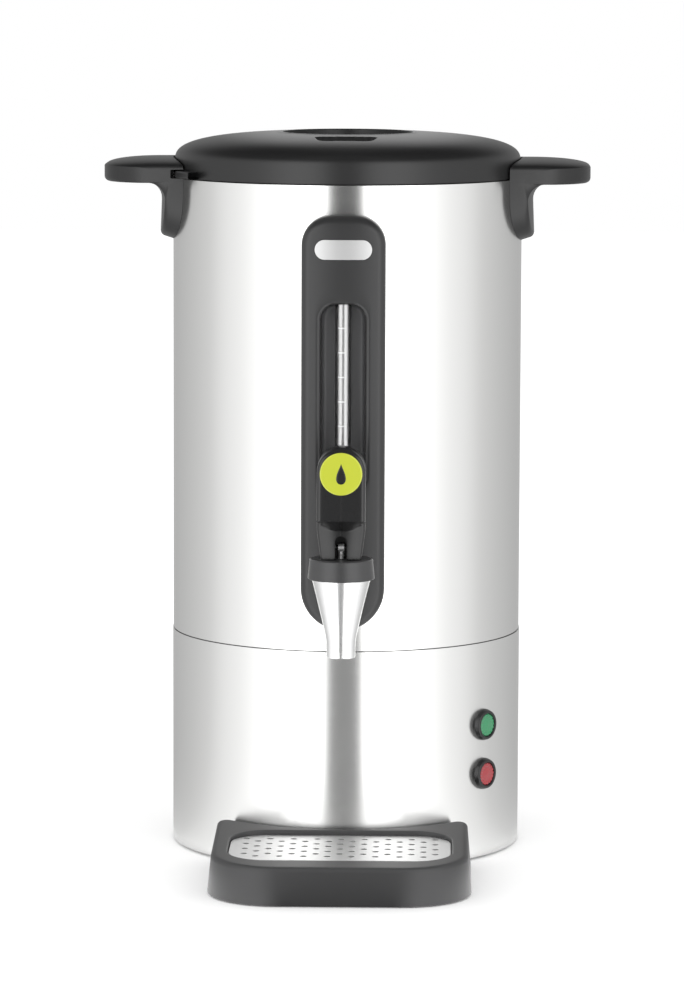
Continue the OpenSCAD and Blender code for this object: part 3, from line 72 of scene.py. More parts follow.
# %% [markdown]
# ## Shapes from numbers
#
# Pieces are worked out in millimetres about the drum's axis, with the front towards -y. They could be
# pushed and pulled by hand, but a grid of points keeps every curve exact and every size in one named
# value. Rows and columns can close on themselves, and the first or last row can be capped.

# %% Turn a grid of points into a piece
SHARP, WELD, SLIVER = 32, 2e-6, 1e-7


def make_mesh(name, points, faces, material, body, sharp=SHARP):
    """A smooth-shaded mesh whose edges stay crisp where two faces turn by more than sharp degrees. Its
    points are millimetres about the drum's axis and become metres in the part's frame."""
    mesh = bpy.data.meshes.new(name)
    mesh.from_pydata(((np.asarray(points, float) + [0, AXIS_Y, 0]) * MM).tolist(), [], faces)
    work = bmesh.new()
    work.from_mesh(mesh)
    bmesh.ops.remove_doubles(work, verts=work.verts, dist=WELD)
    bmesh.ops.dissolve_degenerate(work, edges=work.edges, dist=SLIVER)
    bmesh.ops.recalc_face_normals(work, faces=work.faces)
    work.to_mesh(mesh)
    work.free()
    mesh.shade_smooth()
    mesh.set_sharp_from_angle(angle=math.radians(sharp))
    mesh.materials.append(material)
    piece = bpy.data.objects.new(name, mesh)
    bpy.context.scene.collection.objects.link(piece)
    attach(piece, body)
    return piece


def quads(rows, columns, close_rows=False, close_columns=True):
    """Corner numbers of every quad in a grid, as an array of fours."""
    index = np.arange(rows * columns).reshape(rows, columns)
    here = index if close_rows else index[:-1]
    over = np.roll(index, -1, 0) if close_rows else index[1:]
    if close_columns:
        ring = (here, np.roll(here, -1, 1), np.roll(over, -1, 1), over)
    else:
        ring = (here[:, :-1], here[:, 1:], over[:, 1:], over[:, :-1])
    return np.stack(ring, -1).reshape(-1, 4)


def grid_piece(name, grid, material, body, close=(False, True), caps=(False, False), sharp=SHARP):
    """A piece from a grid of points with shape (rows, columns, 3). As a rule each row is a closed ring."""
    grid = np.asarray(grid, float)
    rows, columns = grid.shape[:2]
    faces = quads(rows, columns, *close).tolist()
    last = (rows - 1) * columns
    if caps[0]:
        faces.append(list(range(columns))[::-1])
    if caps[1]:
        faces.append(list(range(last, last + columns)))
    return make_mesh(name, grid.reshape(-1, 3), faces, material, body, sharp)


print(f"a grid of 3 rings with 8 points each has {len(quads(3, 8))} quads")

# %% [markdown]
# ## Outlines and turned surfaces
#
# Moulded plastic and pressed steel have no sharp corners. Blender's bevel could round them afterwards,
# but rounding the outline itself gives each corner its own radius. Round pieces such as the lid and
# the spout are such a line, swept round an axis.


# %% Outlines with rounded corners
def corner_arc(before, corner, after, radius, steps):
    """Points on the arc that rounds a corner: its centre lies on the corner's bisector."""
    before, corner, after = (np.asarray(p, float) for p in (before, corner, after))
    a = (before - corner) / np.linalg.norm(before - corner)
    b = (after - corner) / np.linalg.norm(after - corner)
    half = math.acos(float(np.clip(a @ b, -1, 1))) / 2
    straight = half > math.pi / 2 - 1e-4
    if radius <= 0 or straight:
        return np.repeat(corner[None], steps + 1, 0)
    bisector = (a + b) / np.linalg.norm(a + b)
    centre = corner + bisector * radius / math.sin(half)
    reach = radius / math.tan(half)
    start = math.atan2(*(corner + a * reach - centre)[::-1])
    end = math.atan2(*(corner + b * reach - centre)[::-1])
    turn = (end - start + math.pi) % (2 * math.pi) - math.pi
    angle = start + turn * np.linspace(0, 1, steps + 1)
    return centre + radius * np.stack([np.cos(angle), np.sin(angle)], 1)


def between(first, last, count):
    """Points strictly between two points on a straight line."""
    share = np.linspace(0, 1, count + 2)[1:-1, None]
    return first + (last - first) * share


def rounded(corners, radii, steps=6, closed=True, side=0):
    """A line through corners with each one rounded; side adds that many points between two corners."""
    count = len(corners)
    arcs = []
    for i in range(count):
        if not closed and i in (0, count - 1):
            arcs.append(np.asarray([corners[i]], float))
            continue
        arcs.append(corner_arc(corners[i - 1], corners[i], corners[(i + 1) % count], radii[i], steps))
    parts = []
    for i, arc_points in enumerate(arcs):
        parts.append(arc_points)
        if side and (closed or i < count - 1):
            parts.append(between(arc_points[-1], arcs[(i + 1) % count][0], side))
    return np.concatenate(parts)


def rounded_box(x0, x1, y0, y1, radii, steps=8, side=12):
    """A rectangle from the low right corner round to the low left one, each corner with its radius."""
    return rounded([(x1, y0), (x1, y1), (x0, y1), (x0, y0)], radii, steps, True, side)


print(f"a rounded box has {len(rounded_box(0, 10, 0, 10, [2] * 4))} points")


# %% Turned surfaces
def turned(profile, angles, x=0.0, y=0.0):
    """A profile of (radius, height) pairs swept round an upright axis at x, y; angles in degrees."""
    profile = np.asarray(profile, float)
    angle = np.radians(angles)
    ring = np.stack([np.cos(angle), np.sin(angle)], -1)
    flat = profile[:, None, :1] * ring[None] + [x, y]
    height = np.broadcast_to(profile[:, None, 1:], flat.shape[:2] + (1,))
    return np.concatenate([flat, height], -1)


def box_line(inner, outer, low, high):
    """The corners of a rectangle in a profile, from the low inner one outwards and up."""
    return [(inner, low), (outer, low), (outer, high), (inner, high)]


def full_turn(count):
    """Evenly spaced angles of one turn without the repeated last one."""
    return np.arange(count) * 360 / count


print(f"a line of 5 points turned in 96 steps: {turned(np.ones((5, 2)), full_turn(96)).shape}")

# %% [markdown]
# ## Finishes
#
# The drum is brushed steel, the mouldings are grained black plastic, and the tap is chromed. A picture
# could be laid on each, but noise on object coordinates stays fine at any size. It breaks up the
# roughness, and a faint bump gives plastic its grain. Steel is brushed round the drum, so its noise is
# stretched.

# %% Build a finish from nodes
NOISE_DETAIL = 3


def set_inputs(node, **values):
    """Sets a node's sockets by name, with underscores for spaces."""
    for key, value in values.items():
        node.inputs[key.replace("_", " ")].default_value = value


def add_node(tree, kind, **values):
    """A new shader node with socket values by name."""
    node = tree.nodes.new("ShaderNode" + kind)
    set_inputs(node, **values)
    return node


def map_range(tree, source, low, high, start=0.0, end=1.0):
    """The socket of a new node that turns source, from start to end, into low to high."""
    node = add_node(tree, "MapRange", From_Min=start, From_Max=end, To_Min=low, To_Max=high)
    tree.links.new(source, node.inputs["Value"])
    return node.outputs["Result"]


def new_material(name, colour, rough, metal=0.0, **extra):
    """A principled finish; one number is a grey, and extra holds further socket values by name."""
    material = bpy.data.materials.new(name)
    material.use_nodes = True
    shader = material.node_tree.nodes["Principled BSDF"]
    set_inputs(shader, Base_Color=(*np.broadcast_to(colour, 3), 1), Roughness=rough, Metallic=metal, **extra)
    return material


def add_grain(material, scale, low, high, bump, stretch=(1, 1, 1)):
    """Noise that moves the roughness between low and high and lifts the surface by bump metres."""
    tree = material.node_tree
    link, shader = tree.links.new, tree.nodes["Principled BSDF"]
    place = add_node(tree, "TexCoord")
    shape = add_node(tree, "Mapping", Scale=stretch)
    noise = add_node(tree, "TexNoise", Scale=scale, Detail=NOISE_DETAIL)
    lift = add_node(tree, "Bump", Strength=1, Distance=bump)
    link(place.outputs["Object"], shape.inputs["Vector"])
    link(shape.outputs["Vector"], noise.inputs["Vector"])
    link(map_range(tree, noise.outputs["Fac"], low, high), shader.inputs["Roughness"])
    link(noise.outputs["Fac"], lift.inputs["Height"])
    link(lift.outputs["Normal"], shader.inputs["Normal"])
    return material


def brushed(name, colour, rough):
    """Steel brushed round the drum: fine lines along the ring and highlights drawn out upright."""
    material = new_material(name, colour, rough, 1.0, Anisotropic=0.75, Anisotropic_Rotation=0.25)
    tree = material.node_tree
    tangent = add_node(tree, "Tangent")
    tangent.direction_type = "RADIAL"
    tangent.axis = "Z"
    tree.links.new(tangent.outputs["Tangent"], tree.nodes["Principled BSDF"].inputs["Tangent"])
    return add_grain(material, 60, rough * 0.85, rough * 1.2, 4e-6, (1, 1, 60))


def moulded(name, shade, rough, bump):
    """Black plastic from a grained mould: shade is its grey, and rough is the middle of its roughness."""
    material = new_material(name, (shade, shade, shade * 1.03), rough)
    return add_grain(material, 2600, rough - 0.04, rough + 0.06, bump)


def metal(name, colour, scale, low, high, bump):
    """Plain metal with a roughness between low and high."""
    return add_grain(new_material(name, colour, low, 1.0), scale, low, high, bump)


def plain(name, colour, scale, low, high, bump, **extra):
    """Any other finish with a roughness between low and high."""
    return add_grain(new_material(name, colour, low, **extra), scale, low, high, bump)


print("finish helpers ready")

# %% Name the finishes
steel = brushed("brushed_steel", (0.83, 0.83, 0.82), 0.24)
inner_steel = metal("inner_steel", (0.74, 0.74, 0.73), 900, 0.26, 0.38, 4e-6)
grid_steel = metal("grid_steel", 0.7, 1500, 0.34, 0.46, 6e-6)
chrome = metal("chrome", 0.9, 250, 0.23, 0.25, 1e-8)
satin = plain("satin_rod", 0.95, 900, 0.36, 0.44, 2e-6, metal=0.75)
heater_metal = metal("heater_metal", (0.3, 0.28, 0.26), 800, 0.4, 0.55, 8e-6)
panel_plastic = moulded("panel_plastic", 0.024, 0.36, 1.6e-5)
plastic = moulded("charcoal_plastic", 0.011, 0.34, 1.4e-5)
tray_plastic = moulded("tray_plastic", 0.034, 0.48, 1.4e-5)
bonnet_plastic = moulded("bonnet_plastic", 0.045, 0.36, 1.6e-5)
dark_plastic = moulded("dark_plastic", 0.012, 0.28, 8e-6)
# The recess floor's plastic is lighter than the panel's: painted light that lifts the shade in the deep
# recess.
recess_painted_light_plastic = moulded("recess_painted_light_plastic", 0.1, 0.4, 1.6e-5)
seam = plain("grey_seam", 0.1, 1800, 0.5, 0.65, 1e-5)
rubber = plain("black_rubber", 0.018, 1800, 0.62, 0.8, 2e-5)
lime = plain("lime_enamel", (0.6, 0.66, 0.03), 1200, 0.26, 0.36, 3e-6, Coat_Weight=0.5)
green = plain("green_lens", (0.03, 0.3, 0.12), 900, 0.12, 0.18, 2e-6, Coat_Weight=0.6)
red = plain("red_lens", (0.42, 0.03, 0.04), 900, 0.12, 0.18, 2e-6, Coat_Weight=0.6)
white_print = plain("white_print", 0.85, 2000, 0.45, 0.6, 2e-6)
tube_clear = plain("clear_tube", (1, 1, 1), 500, 0.01, 0.03, 1e-7, Transmission_Weight=1.0, IOR=1.47)
tube_bore = metal("mirrored_bore", 0.42, 500, 0.26, 0.34, 1e-7)
polished = metal("polished_plate", 0.6, 900, 0.38, 0.46, 1e-6)
blackened = metal("blackened_steel", 0.06, 900, 0.4, 0.5, 4e-6)
bakelite = plain("pale_bakelite", (0.62, 0.56, 0.45), 1500, 0.5, 0.62, 1e-5)
painted = plain("painted_plate", 0.06, 2200, 0.45, 0.6, 1e-5)
silicone = plain("silicone", (0.75, 0.75, 0.72), 1500, 0.5, 0.62, 6e-6)
print(f"{len(bpy.data.materials)} materials in the file")

# %% [markdown]
# ## The CAD nodes
#
# Some nodes are shown as they are, such as the drum, the base and everything inside these two. They could
# be rebuilt as well, but their CAD faces are already right, so a finish is enough.

# %% Finish the CAD nodes
CAD_FINISH = {
    steel: ["tank", "base_skirt"],
    inner_steel: ["lid_liner", "pump_tube", "pump_foot", "filter_basket", "basket_cover", "tie_stud",
                  "tie_nut", "handle_screws", "panel_screw", "lid_screws", "lamp_nuts", "shank_nut",
                  "inlet_pins", "heater_plate"],
    blackened: ["lever_pin"],
    dark_plastic: ["tap_collar", "power_inlet", "switch_body", "power_rocker"],
    chrome: ["tap_shank"],
    satin: ["valve_stem"],
    seam: ["joint_ring"],
    rubber: ["feet", "shank_washers"],
    silicone: ["tube_seals", "seat_cup", "lid_gasket"],
    bakelite: ["thermostat", "thermal_cutout", "terminal_block"],
    painted: ["base_plate"],
    heater_metal: ["boil_element", "warm_element"],
}
for material, names in CAD_FINISH.items():
    for node in names:
        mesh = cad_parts[node].data
        mesh.materials.clear()
        mesh.materials.append(material)
print(f"{len(CAD_FINISH)} finishes on the CAD nodes")

# %% [markdown]
# ## The lid
#
# The real lid is one black moulding with a sunk grip and a steam pocket. Subdivision could model it, but
# it is nearly a turned shape, so one profile swept round the axis keeps its curves exact. The dome follows
# height = rise * (1 - (r / R) ** n) ** (1 / n), a superellipse. The steam pocket is a smooth step down
# inside a rounded trapezoid, worked into the finished grid.

# %% Lid shell
LID_R, LID_Z, LID_T = DRUM_R - 1.0, RIM_Z + 0.3, 2.4
SHOULDER_Z, SHOULDER_W = LID_Z + 9.2, 14
DOME_H, DOME_N = 18.7, 3.0
RECESS_R, RECESS_DEPTH = 41.0, 15.0
RIM_H, RIM_FLAT, RIM_W = 0.2, 2.6, 4.0
PLUG_R, PLUG_H = DRUM_R - 9, 13
POCKET = Sizes(near=56.0, far=77.0, half=20.0, narrow=4.0, corner=5.0, edge=0.6, soft=0.9, depth=4.0,
               margin=5.0)


def dome(r):
    """Height of the lid's skin at radius r."""
    return SHOULDER_Z + DOME_H * (1 - np.clip(r / LID_R, 0, 1) ** DOME_N) ** (1 / DOME_N)


def smooth_step(x, width):
    """0 to 1 as x passes from -width to +width: 3 t * t - 2 t * t * t, where t is the share."""
    t = np.clip(x / (2 * width) + 0.5, 0, 1)
    return t * t * (3 - 2 * t)


def pocket_share(x, y):
    """1 inside the steam pocket and 0 outside: a trapezoid that narrows towards the front. Its corners
    are round, because the distance inwards is R minus the root of the summed squares of R - d, where d
    is the distance from each edge that is nearer than R."""
    p = POCKET
    half = p.half - p.narrow * (-y - p.near) / (p.far - p.near)
    edges = np.stack([-y - p.near, p.far + y, half - np.abs(x)])
    inside = p.corner - np.sqrt((np.clip(p.corner - edges, 0, None) ** 2).sum(0))
    return smooth_step(inside - p.edge, p.soft)


edge_r = LID_R - SHOULDER_W * (1 - np.sin(np.linspace(0, math.pi / 2, 22))[::-1])
crown_r = np.linspace(RECESS_R + RIM_W, edge_r.min(), 62)[:-1]
skin_r = np.concatenate([crown_r, np.sort(edge_r)])
recess_edge = dome(RECESS_R)
recess_floor = recess_edge - RECESS_DEPTH
recess_line = rounded(
    [(0, recess_floor), (RECESS_R, recess_floor), (RECESS_R, recess_edge + RIM_H),
     (RECESS_R + RIM_FLAT, recess_edge + RIM_H), (RECESS_R + RIM_W, dome(RECESS_R + RIM_W))],
    [0, 3, 0.8, 1.2, 0], 6, False)[:-1]
skirt_line = rounded(
    [(LID_R, SHOULDER_Z), (LID_R, LID_Z), (LID_R - LID_T, LID_Z), (LID_R - LID_T, SHOULDER_Z),
     (PLUG_R, SHOULDER_Z), (PLUG_R, LID_Z - PLUG_H), (PLUG_R - LID_T, LID_Z - PLUG_H),
     (PLUG_R - LID_T, SHOULDER_Z)],
    [0, 0.6, 0.4, 1, 1, 0.6, 0.6, 0], 4, False)
lid_line = np.concatenate([recess_line, np.stack([skin_r, dome(skin_r)], 1), skirt_line])
pocket_turn, other_turn = np.linspace(250, 290, 81), np.linspace(290, 610, 161)[1:-1]
lid_grid = turned(lid_line, np.concatenate([pocket_turn, other_turn]))
line_r, line_z = lid_line.T
on_skin = (line_r > POCKET.near - POCKET.margin) & (line_r < POCKET.far + POCKET.margin)
on_skin &= line_z > SHOULDER_Z + 2
lid_grid[..., 2] -= POCKET.depth * pocket_share(lid_grid[..., 0], lid_grid[..., 1]) * on_skin[:, None]
lid = grid_piece("lid_dome", lid_grid, plastic, "lid")
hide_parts("lid_shell")
print(f"lid of {len(lid_line)} rings, {dome(0) - LID_Z:.1f} mm high")

# %% [markdown]
# ## The lid's grip, lugs and steam holes
#
# A hand turns the real lid by a bar across its recess, and two lugs slide into slots in the handles. A
# boolean could join them to the lid, but as pieces of their own they stay clean, and nobody sees where
# they end inside it. The steam holes are so small that dark discs do: they are painted shade where the
# holes would look dark.

# %% Lid grip bar
GRIP_HALF = 8.5
GRIP_ROWS = ((0.0, RECESS_DEPTH), (0.0, 5.5), (0.5, 4.2), (2.0, 3.5), (4.0, 3.2))


def level(line, height):
    """An outline lifted to a height, which is a number or one number for each point."""
    return np.column_stack([line, np.broadcast_to(height, len(line))])


grip_line = rounded_box(-RECESS_R, RECESS_R, -GRIP_HALF, GRIP_HALF, [2] * 4, 5, 10)
grip_grid = []
for inset, drop in GRIP_ROWS:
    y = grip_line[:, 1] * (GRIP_HALF - inset) / GRIP_HALF
    long = np.sqrt(RECESS_R**2 - y**2) / RECESS_R
    grip_grid.append(level(np.column_stack([grip_line[:, 0] * long, y]), recess_edge - drop))
grip = grid_piece("lid_grip_bar", grip_grid, plastic, "lid", caps=(False, True))
print(f"grip bar of {len(grip_line)} points a ring")

# %% Lugs and painted shade for the steam holes
HANDLE_LOW, HANDLE_HALF = RIM_Z - 2.6, 42.0
SLOT_LOW, SLOT_HIGH = HANDLE_LOW + 2.9, HANDLE_LOW + 8.4
LUG = Sizes(play=0.65, inner=LID_R - 2, outer=LID_R + 7.5, turn=9, before=1.5)
LUG_START = math.degrees(math.asin(HANDLE_HALF / (LID_R + 0.3))) + LUG.before
lug_line = rounded(box_line(LUG.inner, LUG.outer, SLOT_LOW + LUG.play, SLOT_HIGH - LUG.play),
                   [0.1, 1, 1, 0.1], 4)
for side, name in ((0, "lug_right"), (180, "lug_left")):
    lug = grid_piece(name, turned(lug_line, side + LUG_START + np.linspace(0, LUG.turn, 12)), plastic,
                     "lid", close=(True, False))

# The steam holes are not cut. A dark disc on the pocket floor is painted shade where each hole would be.
STEAM = Sizes(count=4, pitch=6.5, out=66.5, r=1.9, hub=0.05, lift=0.02)
hole_shade_line = [(STEAM.hub, STEAM.lift), (STEAM.r, STEAM.lift)]
floor_z = float(dome(STEAM.out)) - POCKET.depth
for i in range(STEAM.count):
    hole_x = (i - (STEAM.count - 1) / 2) * STEAM.pitch
    hole_shade_grid = turned(hole_shade_line, full_turn(24), hole_x, -STEAM.out) + [0, 0, floor_z]
    hole = grid_piece(f"steam_hole_shade_{i}", hole_shade_grid, rubber, "lid")
print(f"two lugs from {LUG_START:.1f} degrees and {STEAM.count} steam holes")

# %% [markdown]
# ## The handles
#
# Each real handle is a moulded wing on a shield-shaped bracket. It could be joined from a box and a
# cylinder, but the seams would show, so one section is carried from the front end to the rear end. It
# follows the drum inside, the shield's full, rounded foot below, the underside with its fillet, the outer
# end and the crowned top. A boolean then cuts the lug's slot, because it crosses the sections.

# %% Handle sections
HANDLE = Sizes(reach=152.0, half=HANDLE_HALF, corner=30.0, under=HANDLE_LOW, edge=HANDLE_LOW + 9.6,
               crown=5.4, crown_from=115, crown_n=2.2, fillet=10.5, end_round=3.2, foot=RIM_Z - 39,
               foot_round=3.5, power=3.0, least=1.2, inner=DRUM_R + 0.05, outer=DRUM_R + 6.6, flare=1.3,
               flat=0.5, soft=2.5, slant=math.tan(math.radians(18)), cap_round=1.4, sharp=50)


def handle_top(x, y, reach):
    """Height of the top: a crown that dies away as (1 - a ** n) ** 0.5 outwards and towards both ends."""
    h = HANDLE
    out = np.clip((x - h.crown_from) / (reach - h.crown_from), 0, 1)
    across = min(abs(y) / h.half, 1.0)
    return h.edge + h.crown * np.sqrt((1 - out ** h.crown_n) * (1 - across ** h.crown_n))


def handle_section(y, inset):
    """One closed section at y as (x, z) points, drawn in by inset on its outer sides. The bracket's lower
    edge is half a superellipse: height = foot + depth * (1 - (1 - a ** n) ** (1 / n)), where a is the share
    of y. Its outer face is flatter than a circle round the drum, by the share flat."""
    h = HANDLE
    share = min(abs(y) / h.half, 1.0)
    bend = max(0.0, abs(y) - (h.half - h.corner))
    reach = h.reach - h.corner + math.sqrt(max(0.0, h.corner ** 2 - bend**2)) - inset
    under = h.under + inset
    low = h.foot + (h.under - h.foot) * (1 - (1 - share ** h.power) ** (1 / h.power)) + inset
    low = min(low, under - h.least)
    inside = math.sqrt(h.inner ** 2 - y**2)
    round_out = math.sqrt(h.outer ** 2 - y**2)
    outside = round_out + (h.outer - round_out) * h.flat - inset * h.soft
    foot_out = outside + h.flare * (1 - share**2)
    foot_z = min(low + (foot_out - inside) * h.slant, under - h.least / 2)
    foot_round = min(h.foot_round, 0.3 * (under - foot_z))
    # The fillet is as large as the wall and the underside leave room for beside their own rounds.
    fillet = min(h.fillet, 0.9 * (under - foot_z - 4), 0.85 * (reach - outside - 3.6))
    line = rounded(
        [(inside, low), (foot_out, foot_z), (outside, under), (reach, under), (reach, h.edge - inset)],
        [0, foot_round, max(fillet, 0.5), h.end_round, 0], 8, False, 6)
    top_x = inside + (reach - 0.2 - inside) * np.sin(np.linspace(math.pi / 2, 0, 30))
    top = np.stack([top_x, handle_top(top_x, y, reach) - inset], 1)
    return np.concatenate([line, top])


end_turn = np.radians([0, 20, 40, 60, 80])
end_y = HANDLE_HALF - HANDLE.cap_round * (1 - np.sin(end_turn))
end_inset = HANDLE.cap_round * (1 - np.cos(end_turn))
middle_y = (HANDLE_HALF - 1.5) * np.sin(np.linspace(-math.pi / 2, math.pi / 2, 61))
places = [(-y, inset) for y, inset in zip(end_y[::-1], end_inset[::-1])]
places += [(y, 0.0) for y in middle_y] + list(zip(end_y, end_inset))
right_grid = []
for y, inset in places:
    section = handle_section(y, inset)
    right_grid.append(np.column_stack([section[:, 0], np.full(len(section), y), section[:, 1]]))
right_grid = np.array(right_grid)
print(f"a handle has {len(right_grid)} sections of {right_grid.shape[1]} points")


# %% Both handles with their slots
def carve(piece, cutter, sharp):
    """Cuts one piece out of another, keeps edges crisp over sharp degrees and deletes the cutter."""
    cut = piece.modifiers.new("cut", "BOOLEAN")
    cut.object = cutter
    cut.operation = "DIFFERENCE"
    cut.solver = "EXACT"
    bpy.context.view_layer.update()
    carved = bpy.data.meshes.new_from_object(piece.evaluated_get(bpy.context.evaluated_depsgraph_get()))
    piece.modifiers.clear()
    carved.set_sharp_from_angle(angle=math.radians(sharp))
    piece.data = carved
    bpy.data.objects.remove(cutter)


SLOT = Sizes(inner=LID_R - 9, outer=DRUM_R + 7.4, start=LUG_START - 20.5, turn=50)
slot_line = rounded(box_line(SLOT.inner, SLOT.outer, SLOT_LOW, SLOT_HIGH), [0.2, 0.8, 0.8, 0.2], 3)
slot_arc = np.linspace(SLOT.start, SLOT.start + SLOT.turn, 24)
for name, spin, sign in (("handle_right", 0, 1), ("handle_left", 180, -1)):
    handle = grid_piece(f"{name}_moulding", right_grid * [sign, sign, 1], plastic, "urn", caps=(True, True),
                        sharp=HANDLE.sharp)
    slot_grid = np.swapaxes(turned(slot_line, slot_arc + spin), 0, 1)
    cutter = grid_piece(f"{name}_cutter", slot_grid, dark_plastic, "urn", caps=(True, True))
    carve(handle, cutter, HANDLE.sharp)
    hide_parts(name)
    print(f"{name} with {len(handle.data.polygons)} faces")

# %% [markdown]
# ## The front panel
#
# The real panel is a long moulding that hugs the drum, with a sunk window for the sight tube. A flat plate
# could be bent by a modifier, but its recess would bend too. So it is a stack of outlines, each on a
# cylinder about the drum's axis: y = -sqrt(R * R - x * x). The stack runs up the side, round the edge,
# across the face and down into the recess. Its floor is a piece of its own, in a lighter grey plastic:
# painted light that lifts the shade in the deep recess.

# %% Panel moulding and recess
PANEL_R = DRUM_R + 16
PANEL = Sizes(half=25.5, low=151.0, high=403.5, top_r=18.0, edge=4.5, foot=0.3, side=4.0)
BEND_H, BEND_DEPTH = 13.0, 6.0
RECESS = Sizes(half=13.4, low=237.0, high=350.0, corner=9.0, floor=DRUM_R + 1.5, rim=3.0)
RECESS_ROWS = ((0.3, 3.6), (0.7, 1.6), (1.6, 0.5), (3.0, 0.0), (7.0, 0.0))
PANEL_STEPS, PANEL_SIDE, PANEL_SHARP = 14, 30, 40


def panel_line(inset):
    """The panel's outline drawn in by inset: round below, with large rounded corners above."""
    p = PANEL
    half, top_r = p.half - inset, p.top_r - inset
    return rounded_box(-half, half, p.low + inset, p.high - inset,
                       [half - 0.01, top_r, top_r, half - 0.01], PANEL_STEPS, PANEL_SIDE)


def recess_outline(inset):
    """The sight recess's outline drawn in by inset."""
    r = RECESS
    half = r.half - inset
    corner = max(r.corner - inset, 1.0)
    return rounded_box(-half, half, r.low + inset, r.high - inset, [corner] * 4,
                       PANEL_STEPS, PANEL_SIDE)


def on_cylinder(line, radius):
    """An (x, z) outline laid on the front of a cylinder about the drum's axis. Over the last BEND_H
    under the panel's top the radius falls by depth * (1 - sqrt(1 - t * t)), fully on the face and not
    at all on the drum."""
    over = np.clip((line[:, 1] - PANEL.high + BEND_H) / BEND_H, 0, 1)
    depth = BEND_DEPTH * (radius - DRUM_R) / (PANEL_R - DRUM_R)
    reach = radius - depth * (1 - np.sqrt(1 - over**2))
    return np.column_stack([line[:, 0], -np.sqrt(reach**2 - line[:, 0] ** 2), line[:, 1]])


def quarter(radius, count):
    """Pairs of (inset, drop) on a quarter circle, from the side up to the top."""
    angle = np.radians(np.linspace(0, 90, count))
    return zip(radius * (1 - np.cos(angle)), radius * (1 - np.sin(angle)))


edge, rim = PANEL.edge, RECESS.rim
rows = [on_cylinder(panel_line(0), DRUM_R + PANEL.foot),
        on_cylinder(panel_line(0), PANEL_R - edge - PANEL.side)]
rows += [on_cylinder(panel_line(inset), PANEL_R - drop) for inset, drop in quarter(edge, 10)]
face_from, face_to = panel_line(edge), recess_outline(-rim)
for share in np.linspace(0, 1, 8)[1:-1]:
    rows.append(on_cylinder(face_from + (face_to - face_from) * share, PANEL_R))
rows += [on_cylinder(recess_outline(-drop), PANEL_R - inset) for inset, drop in quarter(rim, 7)]
face_rows = len(rows)
rows += [on_cylinder(recess_outline(inset), RECESS.floor + lift) for inset, lift in RECESS_ROWS]
panel = grid_piece("panel_moulding", rows[:face_rows + 1], panel_plastic, "urn", sharp=PANEL_SHARP)
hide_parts("front_panel")
# The floor's lighter plastic is painted light against the shade in the recess.
recess = grid_piece("recess_floor", rows[face_rows:], recess_painted_light_plastic, "urn", caps=(False, True),
                    sharp=PANEL_SHARP)
print(f"panel and recess of {len(rows)} outlines")

# %% [markdown]
# ## The badge plate
#
# A thin polished plate sits on the panel's upper end. It could be a capped stack like the tray, but its
# face is bent with the drum, and a flat cap can't bend. So the edge is a stack of outlines, and the face
# is a grid whose rows are cut short by the round ends.

# %% Badge plate
BADGE = Sizes(half=17.35, height=6.0, z=383.3, sunk=0.3, side=0.2, round=0.3, rise=0.2)


def badge_line(inset):
    """The badge plate's pill outline drawn in by inset."""
    b = BADGE
    half, height = b.half - inset, b.height - inset
    return rounded_box(-half, half, b.z - height, b.z + height, [height - 0.01] * 4, 10, 8)


side_r, face_r = PANEL_R + BADGE.side, PANEL_R + BADGE.side + BADGE.rise
rows = [on_cylinder(badge_line(0), PANEL_R - BADGE.sunk), on_cylinder(badge_line(0), side_r)]
for a in np.radians([30, 60, 90]):
    outline = badge_line(BADGE.round * (1 - math.cos(a)))
    rows.append(on_cylinder(outline, side_r + BADGE.rise * math.sin(a)))
badge = grid_piece("badge_edge", rows, polished, "urn", sharp=50)
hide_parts("badge_plate")
along = np.sin(np.linspace(-math.pi / 2, math.pi / 2, 49))[None] * (BADGE.half - BADGE.round)
past = np.clip(np.abs(along) - (BADGE.half - BADGE.height), 0, None)
tall = np.sqrt(np.clip((BADGE.height - BADGE.round) ** 2 - past**2, 0, None))
up = np.linspace(-1, 1, 9)[:, None] * tall
plate = np.stack([np.broadcast_to(along, up.shape), up + BADGE.z], -1).reshape(-1, 2)
plate_grid = on_cylinder(plate, face_r).reshape(*up.shape, 3)
plate_face = grid_piece("badge_face", plate_grid, polished, "urn", close=(False, False))
print(f"badge plate {2 * BADGE.half:.1f} mm wide")

# %% [markdown]
# ## The sight tube
#
# Coffee stands in the real tube as high as in the drum, beside white ticks. The tube could be a hollow
# wall, but light needs many bounces through it. A clear rod round a bright core looks the same and
# renders fast. The ticks are short bands just outside it.

# %% Level ticks
TICK = Sizes(count=5, low=276, pitch=14.9, half=0.45, inner=0.02, outer=0.1)
tick_turn = np.linspace(232, 278, 16)
tube_box = box_mm("sight_tube")
TUBE_Y, TUBE_R = tube_box[:, 1].mean(), np.ptp(tube_box[:, 0]) / 2
for i in range(TICK.count):
    tick_z = TICK.low + TICK.pitch * i
    tick_line = box_line(TUBE_R + TICK.inner, TUBE_R + TICK.outer, tick_z - TICK.half, tick_z + TICK.half)
    tick = grid_piece(f"level_tick_{i}", turned(tick_line, tick_turn, 0, TUBE_Y), white_print, "urn",
                      close=(True, False))
print(f"{TICK.count} level ticks")

